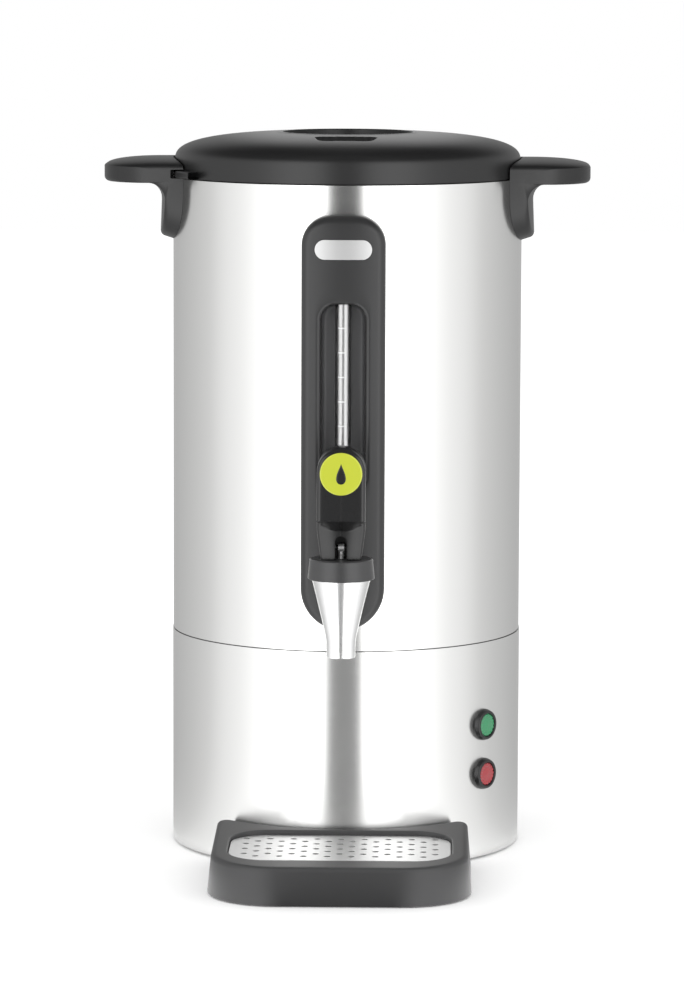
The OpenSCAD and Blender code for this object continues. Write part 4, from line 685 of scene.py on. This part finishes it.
# %% Sight tube
BORE_R, BORE_SHORT, HUB_R = 4.5, 1, 0.01
tube_foot, tube_top = tube_box[:, 2]
glass_line = rounded(box_line(HUB_R, TUBE_R, tube_foot, tube_top), [0, 0.5, 0.5, 0], 4, False, 8)
glass = grid_piece("sight_glass", turned(glass_line, full_turn(96), 0, TUBE_Y), tube_clear, "urn")
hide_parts("sight_tube")
bore_line = box_line(HUB_R, BORE_R, tube_foot + BORE_SHORT, tube_top - BORE_SHORT)
tube_core = grid_piece("sight_bore", turned(bore_line, full_turn(64), 0, TUBE_Y), tube_bore, "urn")
print(f"sight tube {tube_top - tube_foot:.1f} mm tall, radius {TUBE_R:.1f} mm")

# %% [markdown]
# ## The tap's spout and bonnet
#
# The real spout is a chromed casting with a drip slit at its tip, under a black ring. Cones could stand
# for both, but the eye sees the spout's soft swell, so it is turned from r = tip + grow * t ** n. Here t
# is the share of the height over the straight lower fifth, and a square root makes it leave zero softly.
# The slit is a narrow sector that the tip's sweep leaves out, which needs no boolean.

# %% Spout and bonnet
TAP_Y = -(DRUM_R + 45.5)
TIP_Z, SPOUT_H = 140.0, 47.6
SPOUT = Sizes(tip=8.7, grow=9.0, power=1.1, straight=0.2, soft=0.0025, wall=1.7, chamfer=0.4, bore_h=17,
              neck_r=17.0, neck_h=6, slit_h=4, slit_half=0.6)


def spout_r(z):
    """Outer radius of the spout at height z: straight at the tip, then opening upwards."""
    over = np.asarray(z - TIP_Z) / SPOUT_H - SPOUT.straight
    share = (over + np.sqrt(over**2 + SPOUT.soft)) / (2 * (1 - SPOUT.straight))
    return SPOUT.tip + SPOUT.grow * share ** SPOUT.power


SLIT_Z, SPOUT_TOP = TIP_Z + SPOUT.slit_h, TIP_Z + SPOUT_H
wall, chamfer = SPOUT.wall, SPOUT.chamfer
outer_z = np.sort(np.append(np.linspace(TIP_Z + 0.5, SPOUT_TOP, 44), SLIT_Z))
inner_z = np.sort(np.append(np.linspace(TIP_Z + 0.5, TIP_Z + SPOUT.bore_h, 12), SLIT_Z))
spout_line = np.concatenate([
    np.stack([spout_r(inner_z) - wall, inner_z], 1)[::-1],
    [[spout_r(TIP_Z) - wall + chamfer, TIP_Z], [spout_r(TIP_Z) - chamfer, TIP_Z]],
    np.stack([spout_r(outer_z), outer_z], 1),
    [[SPOUT.neck_r, SPOUT_TOP], [SPOUT.neck_r, SPOUT_TOP + SPOUT.neck_h]]])
upper_rows = spout_line[spout_line[:, 1] >= SLIT_Z - 1e-6]
tip_rows = spout_line[spout_line[:, 1] <= SLIT_Z + 1e-6]
# The bore's rows come first, and a jump in radius shows where the outside starts.
split = int(np.argmax(np.diff(upper_rows[:, 0]) > 0.5)) + 1
slit_turn = math.degrees(SPOUT.slit_half / SPOUT.tip)
outside_grid = turned(upper_rows[split:], full_turn(160), 0, TAP_Y)
spout = grid_piece("spout_outside", outside_grid, chrome, "urn")
bore_grid = turned(upper_rows[:split], full_turn(96), 0, TAP_Y)
bore = grid_piece("spout_bore", bore_grid, chrome, "urn")
tip_grid = turned(tip_rows, np.linspace(270 + slit_turn, 630 - slit_turn, 121), 0, TAP_Y)
tip = grid_piece("spout_tip", np.swapaxes(tip_grid, 0, 1), chrome, "urn", close=(False, False),
                 caps=(True, True), sharp=50)
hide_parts("tap_body")

bonnet_z, bonnet_top = box_mm("tap_bonnet")[:, 2]
bonnet_line = rounded([(17.1, bonnet_z), (20.2, bonnet_z), (19.0, bonnet_top), (2.1, bonnet_top)],
                      [0, 0.6, 0.9, 0], 6, False, 3)
bonnet = grid_piece("bonnet_ring", turned(bonnet_line, full_turn(144), 0, TAP_Y), bonnet_plastic, "urn")
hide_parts("tap_bonnet")
print(f"spout {SPOUT_H:.1f} mm tall and its bonnet")

# %% [markdown]
# ## The return spring
#
# A coil inside the bonnet pushes the valve shut. It could be a curve with a bevel, but as a grid the wire
# is a circle carried along a helix, and the finished piece gets a mesh of its own.

# %% Return spring
WIRE_R, COIL_R, COILS = 0.5, 5.0, 6
spring_low, spring_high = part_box("valve_spring")
spring_h = (spring_high.z - spring_low.z) / MM
coil_turn = np.linspace(0, 2 * math.pi * COILS, 24 * COILS + 1)[:, None]
wire_turn = np.linspace(0, 2 * math.pi, 10, endpoint=False)[None]
coil_reach = COIL_R + WIRE_R * np.cos(wire_turn)
coil_rise = coil_turn / coil_turn.max() * (spring_h - 2 * WIRE_R) + WIRE_R * (1 + np.sin(wire_turn))
coil_grid = np.stack([
    coil_reach * np.cos(coil_turn), coil_reach * np.sin(coil_turn) + TAP_Y,
    coil_rise + spring_low.z / MM], -1)
spring = grid_piece("return_spring", coil_grid, inner_steel, "urn", caps=(True, True))
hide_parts("valve_spring")
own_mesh(spring)
print(f"spring of {COILS} turns, {spring_h:.1f} mm tall")

# %% [markdown]
# ## The tap lever
#
# The real lever has a leaning face with a lip, a hollow for a fingertip and a slotted foot whose round
# cams lift the stem. Booleans could carve it from a block, but their seams shade badly on such small
# rounds. So it is a stack of level sections, whose front, back and sides depend on the height. Below the
# arch each has a slot that the stem stands in.

# %% Lever profiles
PIN_Z = box_mm("lever_pin")[:, 2].mean()
LEVER_LOW, LEVER_TOP = box_mm("tap_lever")[:, 2]
LIP_Z, LIP_OUT, LIP_T = PIN_Z + 19, 17.5, 0.9
HOLLOW_H, HOLLOW_FALL = 6.8, 0.66
CAM_R, CAM_OUT = 6.2, 8.0
LEAN_TURN = math.radians(8)
LEAN = math.tan(LEAN_TURN)
NECK_FRONT, FOOT_ROUND = 10.6, 2.0
FOOT_HALF, FOOT_FLARE, FLARE_DROP = 12.3, 2.2, 8
HEAD_R, HEAD_LEAST = 14.5, 0.4
BACK, BACK_LEAN, BACK_DROP = 8.0, 3, 5
TOP_ROUND, TOP_BEND = 7, 0.09


def top_fall(z):
    """How far the faces draw back near the top: with the square of the height over the last TOP_ROUND."""
    return TOP_BEND * np.clip(z - (LEVER_TOP - TOP_ROUND), 0, None) ** 2


def cam_reach(z):
    """How far the round cam stands from the stem at height z, before it or behind it."""
    return CAM_OUT + np.sqrt(np.clip(CAM_R**2 - np.clip(PIN_Z - z, 0, CAM_R) ** 2, 0, None))


def lever_front_y(z, across):
    """How far the lever's front lies before the stem, as a negative number, at height z. Above the lip it
    is a leaning plane. Under the lip a hollow goes back evenly over its height, which falls from the
    middle (across 0) to the sides (across 1). The foot below is round in front: it goes back with the
    square of across."""
    face = (z - LIP_Z) * LEAN - LIP_OUT + top_fall(z)
    tall = HOLLOW_H * (1 - HOLLOW_FALL * across**4)
    share = np.clip((LIP_Z - LIP_T - z) / tall, 0, 1)
    foot = FOOT_ROUND * across**2 - NECK_FRONT
    hollow = -LIP_OUT + (LIP_OUT + foot) * share
    low = np.where(z < PIN_Z, np.maximum(-cam_reach(z), foot), hollow)
    return np.where(z >= LIP_Z, face, np.where(z >= LIP_Z - LIP_T, -LIP_OUT, low))


def lever_back_y(z):
    """How far the lever's back lies behind the stem at height z."""
    lean_from = LEVER_TOP - BACK_DROP
    lean = BACK + BACK_LEAN * np.clip((lean_from - z) / (lean_from - PIN_Z), 0, 1)
    return np.where(z < PIN_Z, np.minimum(cam_reach(z), lean), lean - top_fall(z))


def lever_half_x(z):
    """Half the lever's width at height z: a tapered foot under a round head."""
    taper = FOOT_HALF + FOOT_FLARE * np.clip((z - LEVER_LOW) / (LIP_Z - FLARE_DROP - LEVER_LOW), 0, 1)
    head = np.sqrt(np.clip(HEAD_R**2 - np.clip(z - (LEVER_TOP - HEAD_R), 0, HEAD_R) ** 2, 0, None))
    return np.minimum(taper, np.maximum(head, HEAD_LEAST))


print(f"lever from {LEVER_LOW:.1f} to {LEVER_TOP:.1f} mm, lip at {LIP_Z:.1f} mm")

# %% Lever moulding
ARCH_Z, SLOT_HALF, SLOT_BACK = PIN_Z + 8.3, 3.5, 3.3
LEVER_CORNER, TINY = 2.4, 0.02


def lever_section(z):
    """One closed level section as (x, y) points, with the stem's slot open to the front below the arch."""
    front, back, half = float(lever_front_y(z, 1.0)), float(lever_back_y(z)), float(lever_half_x(z))
    rise = max(0.0, z - (ARCH_Z - SLOT_HALF))
    slot = math.sqrt(max(SLOT_HALF**2 - rise**2, 0.0)) if z < ARCH_Z else 0.0
    deep = SLOT_BACK if slot > TINY else float(lever_front_y(z, 0.0)) + TINY
    slot = max(slot, TINY)
    corner = min(LEVER_CORNER, 0.45 * half, 0.3 * (back - front))
    section = rounded(
        [(slot, front), (half, front), (half, back), (-half, back), (-half, front), (-slot, front),
         (-slot, deep), (slot, deep)],
        [TINY] + [corner] * 4 + [TINY] * 3, 6, True, 6)
    before = section[:, 1] < front + TINY + 0.001
    across = np.clip(np.abs(section[:, 0]) / max(half - corner, 0.1), 0, 1)
    section[:, 1] = np.where(before, section[:, 1] - front + lever_front_y(z, across), section[:, 1])
    return section


lever_z = np.sort(np.concatenate([
    LEVER_LOW + CAM_R * (1 - np.cos(np.linspace(0, math.pi / 2, 14))),
    np.linspace(PIN_Z + 0.4, ARCH_Z - SLOT_HALF, 5),
    ARCH_Z - SLOT_HALF * (1 - np.sin(np.linspace(0.15, 0.497 * math.pi, 10))),
    np.linspace(ARCH_Z + TINY, LIP_Z - 9, 5),
    np.linspace(LIP_Z - LIP_T - HOLLOW_H - 0.4, LIP_Z - LIP_T - 0.05, 20),
    np.linspace(LIP_Z - LIP_T, LIP_Z + 0.4, 4),
    np.linspace(LIP_Z + 2, LEVER_TOP - HEAD_R, 12),
    LEVER_TOP - HEAD_R * (1 - np.sin(np.linspace(0.08, 0.497 * math.pi, 22)))]))
lever_grid = [level(lever_section(z) + [0, TAP_Y], z) for z in lever_z]
lever = grid_piece("lever_moulding", lever_grid, dark_plastic, "tap_lever", caps=(True, True), sharp=35)
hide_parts("tap_lever")
print(f"lever of {len(lever_z)} sections")

# %% [markdown]
# ## The lever's badge
#
# A lime disc is pressed into the lever's face, with a plain drop on it. The drop could be painted by a
# texture, but a thin raised piece keeps its outline crisp from near by. Its outline is
# x = sin(t) * sin(t / 2) ** 1.6 and y = cos(t), stretched to size.


# %% Lever badge with a plain drop
def placed(points, y, z, lean=0.0, spin=0.0):
    """Points given as (across, up, out) on a face that leans back at y and z, and is then spun about the
    drum's axis; both angles in radians."""
    across, up, out = np.moveaxis(np.asarray(points, float), -1, 0)
    deep = y + up * math.sin(lean) - out * math.cos(lean)
    high = z + up * math.cos(lean) + out * math.sin(lean)
    c, s = math.cos(spin), math.sin(spin)
    return np.stack([across * c - deep * s, across * s + deep * c, high], -1)


BADGE_Z = LEVER_TOP - HEAD_R - 1
BADGE_Y = (BADGE_Z - LIP_Z) * LEAN - LIP_OUT + TAP_Y
disc_line = rounded([(0.01, 0.5), (12.1, 0.5), (12.7, 0.2), (12.7, -1)], [0, 0.4, 0.3, 0], 4, False)
disc = turned(disc_line, full_turn(96))
badge_disc = grid_piece("badge_disc", placed(disc, BADGE_Y, BADGE_Z, LEAN_TURN), lime, "tap_lever")
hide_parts("lever_badge")

DROP_HALF, DROP_H, DROP_POWER = 4.2, 6.2, 1.6
DROP_STEPS = ((1, 0.4), (1, 0.56), (0.97, 0.6), (0.5, 0.6))
drop_t = np.linspace(0, 2 * math.pi, 64, endpoint=False)
drop_x = DROP_HALF * np.sin(drop_t) * np.sin(drop_t / 2) ** DROP_POWER
drop_y = DROP_H * np.cos(drop_t)
drop_rows = [np.stack([drop_x * k, drop_y * k, np.full(64, h)], 1) for k, h in DROP_STEPS]
drop = grid_piece("badge_drop", placed(drop_rows, BADGE_Y, BADGE_Z, LEAN_TURN), dark_plastic, "tap_lever",
                  caps=(False, True))
print(f"badge disc of {len(disc_line)} rings and a drop {2 * DROP_H:.1f} mm tall")

# %% [markdown]
# ## Lamps
#
# Two lamps on the base show that the urn heats and that it keeps warm. Each is a domed bezel with a
# lens, which has a raised ring of small facets round a clear middle. They could be primitives with bevels,
# but two turned profiles give the dome and the lens at once, and a cosine on the ring makes the facets.

# %% Lamps
SKIRT_R = np.ptp(box_mm("base_skirt")[:, 0]) / 2
LAMP_ANGLE, LAMP_STEPS = 52, 72
FACETS, FACET_H, FACET_FROM, FACET_TO = 18, 0.18, 4.6, 6.9
LAMPS = (("upper", 84.3, green, "lamp_lens_green", "green_lens"),
         ("lower", 53.4, red, "lamp_lens_red", "red_lens"))
bezel_line = rounded(
    [(9.85, -1.2), (9.85, 1.4), (8.9, 4.1), (7.5, 4.5), (7.1, 3.6), (7.1, 1)],
    [0, 1, 1.2, 0.5, 0.3, 0], 6, False)
lens_line = rounded(
    [(7.1, 1), (7.1, 3.0), (6.6, 3.7), (5.0, 3.7), (4.4, 3.3), (0.01, 3.9)],
    [0, 0.3, 0.4, 0.4, 0.4, 0], 5, False)
lens_ring = (lens_line[:, 0] > FACET_FROM) & (lens_line[:, 0] < FACET_TO)
lamp_turn, lamp_spin = full_turn(LAMP_STEPS), math.radians(LAMP_ANGLE)
bezel_grid = turned(bezel_line, lamp_turn) + [0, 0, SKIRT_R]
lens_grid = turned(lens_line, lamp_turn) + [0, 0, SKIRT_R]
lens_grid[..., 2] += FACET_H * np.cos(np.radians(lamp_turn) * FACETS)[None] * lens_ring[:, None]
for name, z, lens_material, lens_node, lens_slot in LAMPS:
    bezel = grid_piece(f"bezel_{name}", placed(bezel_grid, 0, z, spin=lamp_spin), dark_plastic, "urn")
    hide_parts(f"lamp_bezel_{name}")
    lens = grid_piece(f"lens_{name}", placed(lens_grid, 0, z, spin=lamp_spin), lens_material, "urn")
    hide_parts(lens_node)
print(f"{len(LAMPS)} lamps at {LAMP_ANGLE} degrees")

# %% [markdown]
# ## The drip tray
#
# The real tray is a moulding that hugs the drum and holds the grid. It could be a bevelled box with a
# boolean for the basin, but its rear is an arc and its rim slopes. So it is a stack of outlines: up the
# drafted side, round the top edge, across the rim and down into the basin. The outer ones follow the drum
# at the rear, and the inner ones are rounded rectangles with as many points.

# %% Tray outlines
TRAY = Sizes(half=79.5, front=-217.5, rear=-86.0, corner=42.0, rear_corner=8.0, front_h=23.0,
             rear_h=27.5, gap=0.4, draft=2.0, edge=3.2, basin_edge=1.2)
GRID_LIFT, MORE_FRONT, MORE_REAR = 0.35, 5.5, 4.5
grid_low, grid_high = box_mm("drip_grid")
GRID_Z, GRID_HALF = grid_high[2] + GRID_LIFT, (grid_high[0] - grid_low[0]) / 2
GRID_FRONT, GRID_REAR = grid_low[1] - MORE_FRONT, grid_high[1] + MORE_REAR
GRID_CORNER, GRID_GAP = 24.0, 0.6
CORNER_STEPS, SIDE_STEPS = 12, 24


def arc(x, y, radius, start, end, count):
    """Points on an arc about x, y; the angles are in degrees."""
    angle = np.radians(np.linspace(start, end, count))
    return np.column_stack([x + radius * np.cos(angle), y + radius * np.sin(angle)])


def tray_line(inset):
    """The tray's outline drawn in by inset. Its rear is an arc about the drum's axis, and a rear corner
    is a round that touches both that arc and the side, so its centre is the sum of the two radii away."""
    t = TRAY
    side, front_y = t.half - t.corner, t.front + t.corner
    rear_x = t.half - t.rear_corner
    hug, small = SKIRT_R + t.gap + inset, t.rear_corner - inset
    rear_y = -math.sqrt((hug + small) ** 2 - rear_x**2)
    lean = math.degrees(math.atan2(-rear_y, -rear_x))
    front = arc(side, front_y, t.corner - inset, -90, 0, CORNER_STEPS + 1)
    back = arc(rear_x, rear_y, small, 0, lean, CORNER_STEPS + 1)
    right = np.concatenate([front, between(front[-1], back[0], SIDE_STEPS), back])
    left = right[::-1] * [-1, 1]
    rear = arc(0, 0, hug, lean - 180, -lean, SIDE_STEPS + 2)[1:-1]
    return np.concatenate([right, rear, left, between(left[-1], right[0], SIDE_STEPS)])


def basin_line(inset):
    """The basin's outline drawn in by inset: a rounded rectangle round the grid."""
    corner = max(GRID_CORNER - inset, 2)
    half = GRID_HALF + GRID_GAP - inset
    front, rear = GRID_FRONT - GRID_GAP + inset, GRID_REAR + GRID_GAP - inset
    return rounded_box(-half, half, front, rear, [corner] * 4, CORNER_STEPS, SIDE_STEPS)


print(f"outlines of {len(tray_line(0))} and {len(basin_line(0))} points")


# %% Tray moulding
def rim_height(y):
    """Height of the sloping rim at y."""
    share = np.clip((y - TRAY.front) / (TRAY.rear - TRAY.front), 0, 1)
    return TRAY.front_h + (TRAY.rear_h - TRAY.front_h) * share


def sloped(line, drop):
    """An outline laid the given distance under the sloping rim."""
    return level(line, rim_height(line[:, 1]) - drop)


FOOT_ROWS = ((6, 0), (1, 0), (0.3, 0.3), (0, 1))
BASIN_ROWS = ((0.0, GRID_Z - 1.3), (4.0, GRID_Z - 1.3), (4.3, GRID_Z - 1.8), (6.0, 4.0), (8.0, 2.5))
draft, edge, basin_edge = TRAY.draft, TRAY.edge, TRAY.basin_edge
rows = [level(tray_line(inset), height) for inset, height in FOOT_ROWS]
rows += [sloped(tray_line(draft + inset), drop) for inset, drop in quarter(edge, 8)]
rim_from, rim_to = tray_line(draft + edge), basin_line(-basin_edge)
for share in np.linspace(0, 1, 6)[1:-1]:
    rows.append(sloped(rim_from + (rim_to - rim_from) * share, 0))
rows += [sloped(basin_line(-drop), inset) for inset, drop in quarter(basin_edge, 6)]
rows += [level(basin_line(inset), height) for inset, height in BASIN_ROWS]
tray = grid_piece("tray_moulding", rows, tray_plastic, "drip_tray", caps=(True, True), sharp=40)
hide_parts("tray_base")
print(f"drip tray of {len(rows)} outlines")

# %% [markdown]
# ## The punched grid
#
# A steel plate with staggered holes lies in the tray. The holes could be a pattern in the finish, but
# real ones show the dark basin from every side. All punches are one mesh, so one boolean cuts them. A
# hole is kept where its middle lies far enough inside the plate's rounded outline.

# %% Punched grid
GRID_T, GRID_EDGE = 1.0, 0.2
HOLE_R, HOLE_X, HOLE_Y, HOLE_ROWS, HOLE_COLUMNS, HOLE_SIDES = 2.0, 7.2, 7.5, 10, 19, 20
HOLE_MARGIN = 4.5
plate_rows = [(GRID_EDGE, GRID_Z - GRID_T), (0, GRID_Z - GRID_T + GRID_EDGE), (0, GRID_Z - GRID_EDGE),
              (GRID_EDGE, GRID_Z)]
plate = grid_piece("grid_plate", [level(basin_line(GRID_GAP + inset), z) for inset, z in plate_rows],
                   grid_steel, "drip_grid", caps=(True, True))
column, row = np.meshgrid(np.arange(HOLE_COLUMNS) - HOLE_COLUMNS // 2, np.arange(HOLE_ROWS))
centre = np.stack([column * HOLE_X, (row - (HOLE_ROWS - 1) / 2) * HOLE_Y], -1)[(column + row) % 2 == 0]
past = np.abs(centre) - [GRID_HALF, (GRID_REAR - GRID_FRONT) / 2] + GRID_CORNER
inside = GRID_CORNER - np.hypot(*np.clip(past, 0, None).T) - np.clip(past.max(1), None, 0)
centre = centre[inside > HOLE_MARGIN] + [0, (GRID_FRONT + GRID_REAR) / 2]
punch = turned([(HOLE_R, GRID_Z - 2 * GRID_T), (HOLE_R, GRID_Z + GRID_T)], full_turn(HOLE_SIDES))
punches = punch[None] + np.pad(centre, ((0, 0), (0, 1)))[:, None, None]
first = np.arange(len(centre))[:, None, None] * 2 * HOLE_SIDES
sides = (quads(2, HOLE_SIDES)[None] + first).reshape(-1, 4).tolist()
ends = (np.arange(2 * HOLE_SIDES).reshape(2, HOLE_SIDES)[None] + first).reshape(-1, HOLE_SIDES).tolist()
punch_piece = make_mesh("grid_punches", punches.reshape(-1, 3), sides + ends, grid_steel, "drip_grid")
carve(plate, punch_piece, SHARP)
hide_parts("drip_grid")
print(f"punched grid with {len(centre)} holes")

# %% [markdown]
# ## Stage and light
#
# A product photo is taken in a white light tent. Area lamps could stand in for it, but bright steel
# mirrors the tent itself, so the tent is a glowing cylinder that only shiny and clear surfaces see. Its
# panels are brightest on both sides of the camera and greyer towards the rear, apart from a bright strip
# right behind. That draws the drum's soft edges. The dark gap where the camera stands draws the band down
# the steel, and it is lighter near the table.
# The roof is dark, so the lid's shoulder is too. The tent has a floor, because the lower drum mirrors it.

# %% Tent material
scene = bpy.context.scene
scene.view_settings.view_transform = "Standard"
TENT = ((0.0, 0.12), (0.046, 0.14), (0.068, 2.4), (0.19, 2.4), (0.27, 1.3), (0.35, 1.06), (0.417, 0.95),
        (0.454, 0.86), (0.494, 0.74), (0.59, 0.63), (0.727, 0.52), (0.79, 0.48), (0.91, 0.5), (0.95, 1.1),
        (1.0, 1.25))
TABLE_GLOW, TABLE_LOW, TABLE_HIGH = 0.3, 0.05, 0.3
ROOF_GLOW, ROOF_LOW, ROOF_HIGH = 0.12, 0.56, 0.74


def add_math(tree, operation, first, second=None):
    """The socket of a new math node; each input is a socket to link or a plain number."""
    node = add_node(tree, "Math")
    node.operation = operation
    for socket, value in zip(node.inputs, (first, second)):
        if isinstance(value, bpy.types.NodeSocket):
            tree.links.new(value, socket)
        elif value is not None:
            socket.default_value = value
    return node.outputs["Value"]


tent_material = bpy.data.materials.new("tent_panels")
tent_material.use_nodes = True
tree = tent_material.node_tree
tree.nodes.clear()
link = tree.links.new
surface, glow = add_node(tree, "OutputMaterial"), add_node(tree, "Emission")
where, axes, ramp = add_node(tree, "TexCoord"), add_node(tree, "SeparateXYZ"), add_node(tree, "ValToRGB")
link(glow.outputs["Emission"], surface.inputs["Surface"])
link(where.outputs["Object"], axes.inputs["Vector"])
sideways = add_math(tree, "ABSOLUTE", axes.outputs["X"])
forwards = add_math(tree, "MULTIPLY", axes.outputs["Y"], -1)
turn = add_math(tree, "ARCTAN2", sideways, forwards)
link(add_math(tree, "DIVIDE", turn, math.pi), ramp.inputs["Fac"])
near_table = map_range(tree, axes.outputs["Z"], TABLE_GLOW, TENT[0][1], TABLE_LOW, TABLE_HIGH)
link(add_math(tree, "MAXIMUM", ramp.outputs["Color"], near_table), glow.inputs["Color"])
link(map_range(tree, axes.outputs["Z"], 1.0, ROOF_GLOW, ROOF_LOW, ROOF_HIGH), glow.inputs["Strength"])
stops = ramp.color_ramp.elements
stops.remove(stops[0])
stops[0].position = TENT[0][0]
stops[0].color = (*[TENT[0][1]] * 3, 1)
for position, value in TENT[1:]:
    stops.new(position).color = (*[value] * 3, 1)
print(f"tent with {len(stops)} tones from front to rear")

# %% Tent, floor and sky
TENT_R, TENT_H, TENT_STEPS = 0.4, 1.0, 96
CARD_R, CARD_Z, ROOF_HOLE = 0.118, 0.0002, 0.01
FLOOR_HALF, FLOOR_Z, FLOOR_GLOW = 6, -0.0004, 0.15
SKY_LIGHT, SKY_SEEN = 1.1, 1.0


def stage_mesh(name, points, faces, material):
    """A mesh that belongs to the studio and not to the object."""
    mesh = bpy.data.meshes.new(name)
    mesh.from_pydata(points, [], faces)
    mesh.materials.append(material)
    thing = bpy.data.objects.new(name, mesh)
    scene.collection.objects.link(thing)
    return thing


tent_line = [(CARD_R, CARD_Z), (TENT_R, CARD_Z), (TENT_R, TENT_H), (ROOF_HOLE, TENT_H)]
ring = turned(tent_line, full_turn(TENT_STEPS)).reshape(-1, 3)
tent = stage_mesh("tent", ring.tolist(), quads(len(tent_line), TENT_STEPS).tolist(), tent_material)
tent.location = (0, AXIS_Y * MM, 0)
tent.visible_camera = False
tent.visible_diffuse = False
tent.visible_shadow = False

floor_material = new_material("white_floor", (0.93, 0.93, 0.93), 0.9, Specular_IOR_Level=0.0,
                              Emission_Color=(1, 1, 1, 1))
tree = floor_material.node_tree
path = add_node(tree, "LightPath")
floor_glow = add_math(tree, "MULTIPLY", path.outputs["Is Camera Ray"], FLOOR_GLOW)
tree.links.new(floor_glow, tree.nodes["Principled BSDF"].inputs["Emission Strength"])
floor_points = [(x * FLOOR_HALF, y * FLOOR_HALF, FLOOR_Z) for x, y in ((-1, -1), (1, -1), (1, 1), (-1, 1))]
stage_mesh("floor", floor_points, [(0, 1, 2, 3)], floor_material)

world = bpy.data.worlds.new("studio")
scene.world = world
world.use_nodes = True
tree = world.node_tree
back = tree.nodes["Background"]
path = add_node(tree, "LightPath")
seen = add_math(tree, "ADD", path.outputs["Is Camera Ray"], path.outputs["Is Glossy Ray"])
through = add_math(tree, "ADD", seen, path.outputs["Is Transmission Ray"])
tree.links.new(map_range(tree, through, SKY_LIGHT, SKY_SEEN), back.inputs["Strength"])
set_inputs(back, Color=(1, 1, 1, 1))
print(f"tent of radius {TENT_R} m, floor {2 * FLOOR_HALF} m wide and a white sky")

# %% [markdown]
# ## Camera
#
# The photo was taken from a little above the tap with a long lens. The camera could be placed by eye, but
# these values were fitted to points on the photo's outline, so that sizes can be compared.

# %% Camera
AZIMUTH, ELEVATION, DISTANCE = math.radians(1.2), math.radians(7.1), 2.884
TARGET = Vector((-0.0029, AXIS_Y * MM, 0.216))
LENS, SENSOR, ROLL = 163.8, 36, math.radians(0.2)
flat = math.cos(ELEVATION)
away = Vector((math.sin(AZIMUTH) * flat, -math.cos(AZIMUTH) * flat, math.sin(ELEVATION)))
camera_data = bpy.data.cameras.new("camera")
camera_data.lens = LENS
camera_data.sensor_width = SENSOR
camera = bpy.data.objects.new("camera", camera_data)
scene.collection.objects.link(camera)
camera.location = TARGET + away * DISTANCE
camera.rotation_mode = "QUATERNION"
camera.rotation_quaternion = (-away).to_track_quat("-Z", "Y") @ Quaternion((0, 0, 1), ROLL)
scene.camera = camera
print(f"camera {DISTANCE} m away with a {LENS} mm lens")
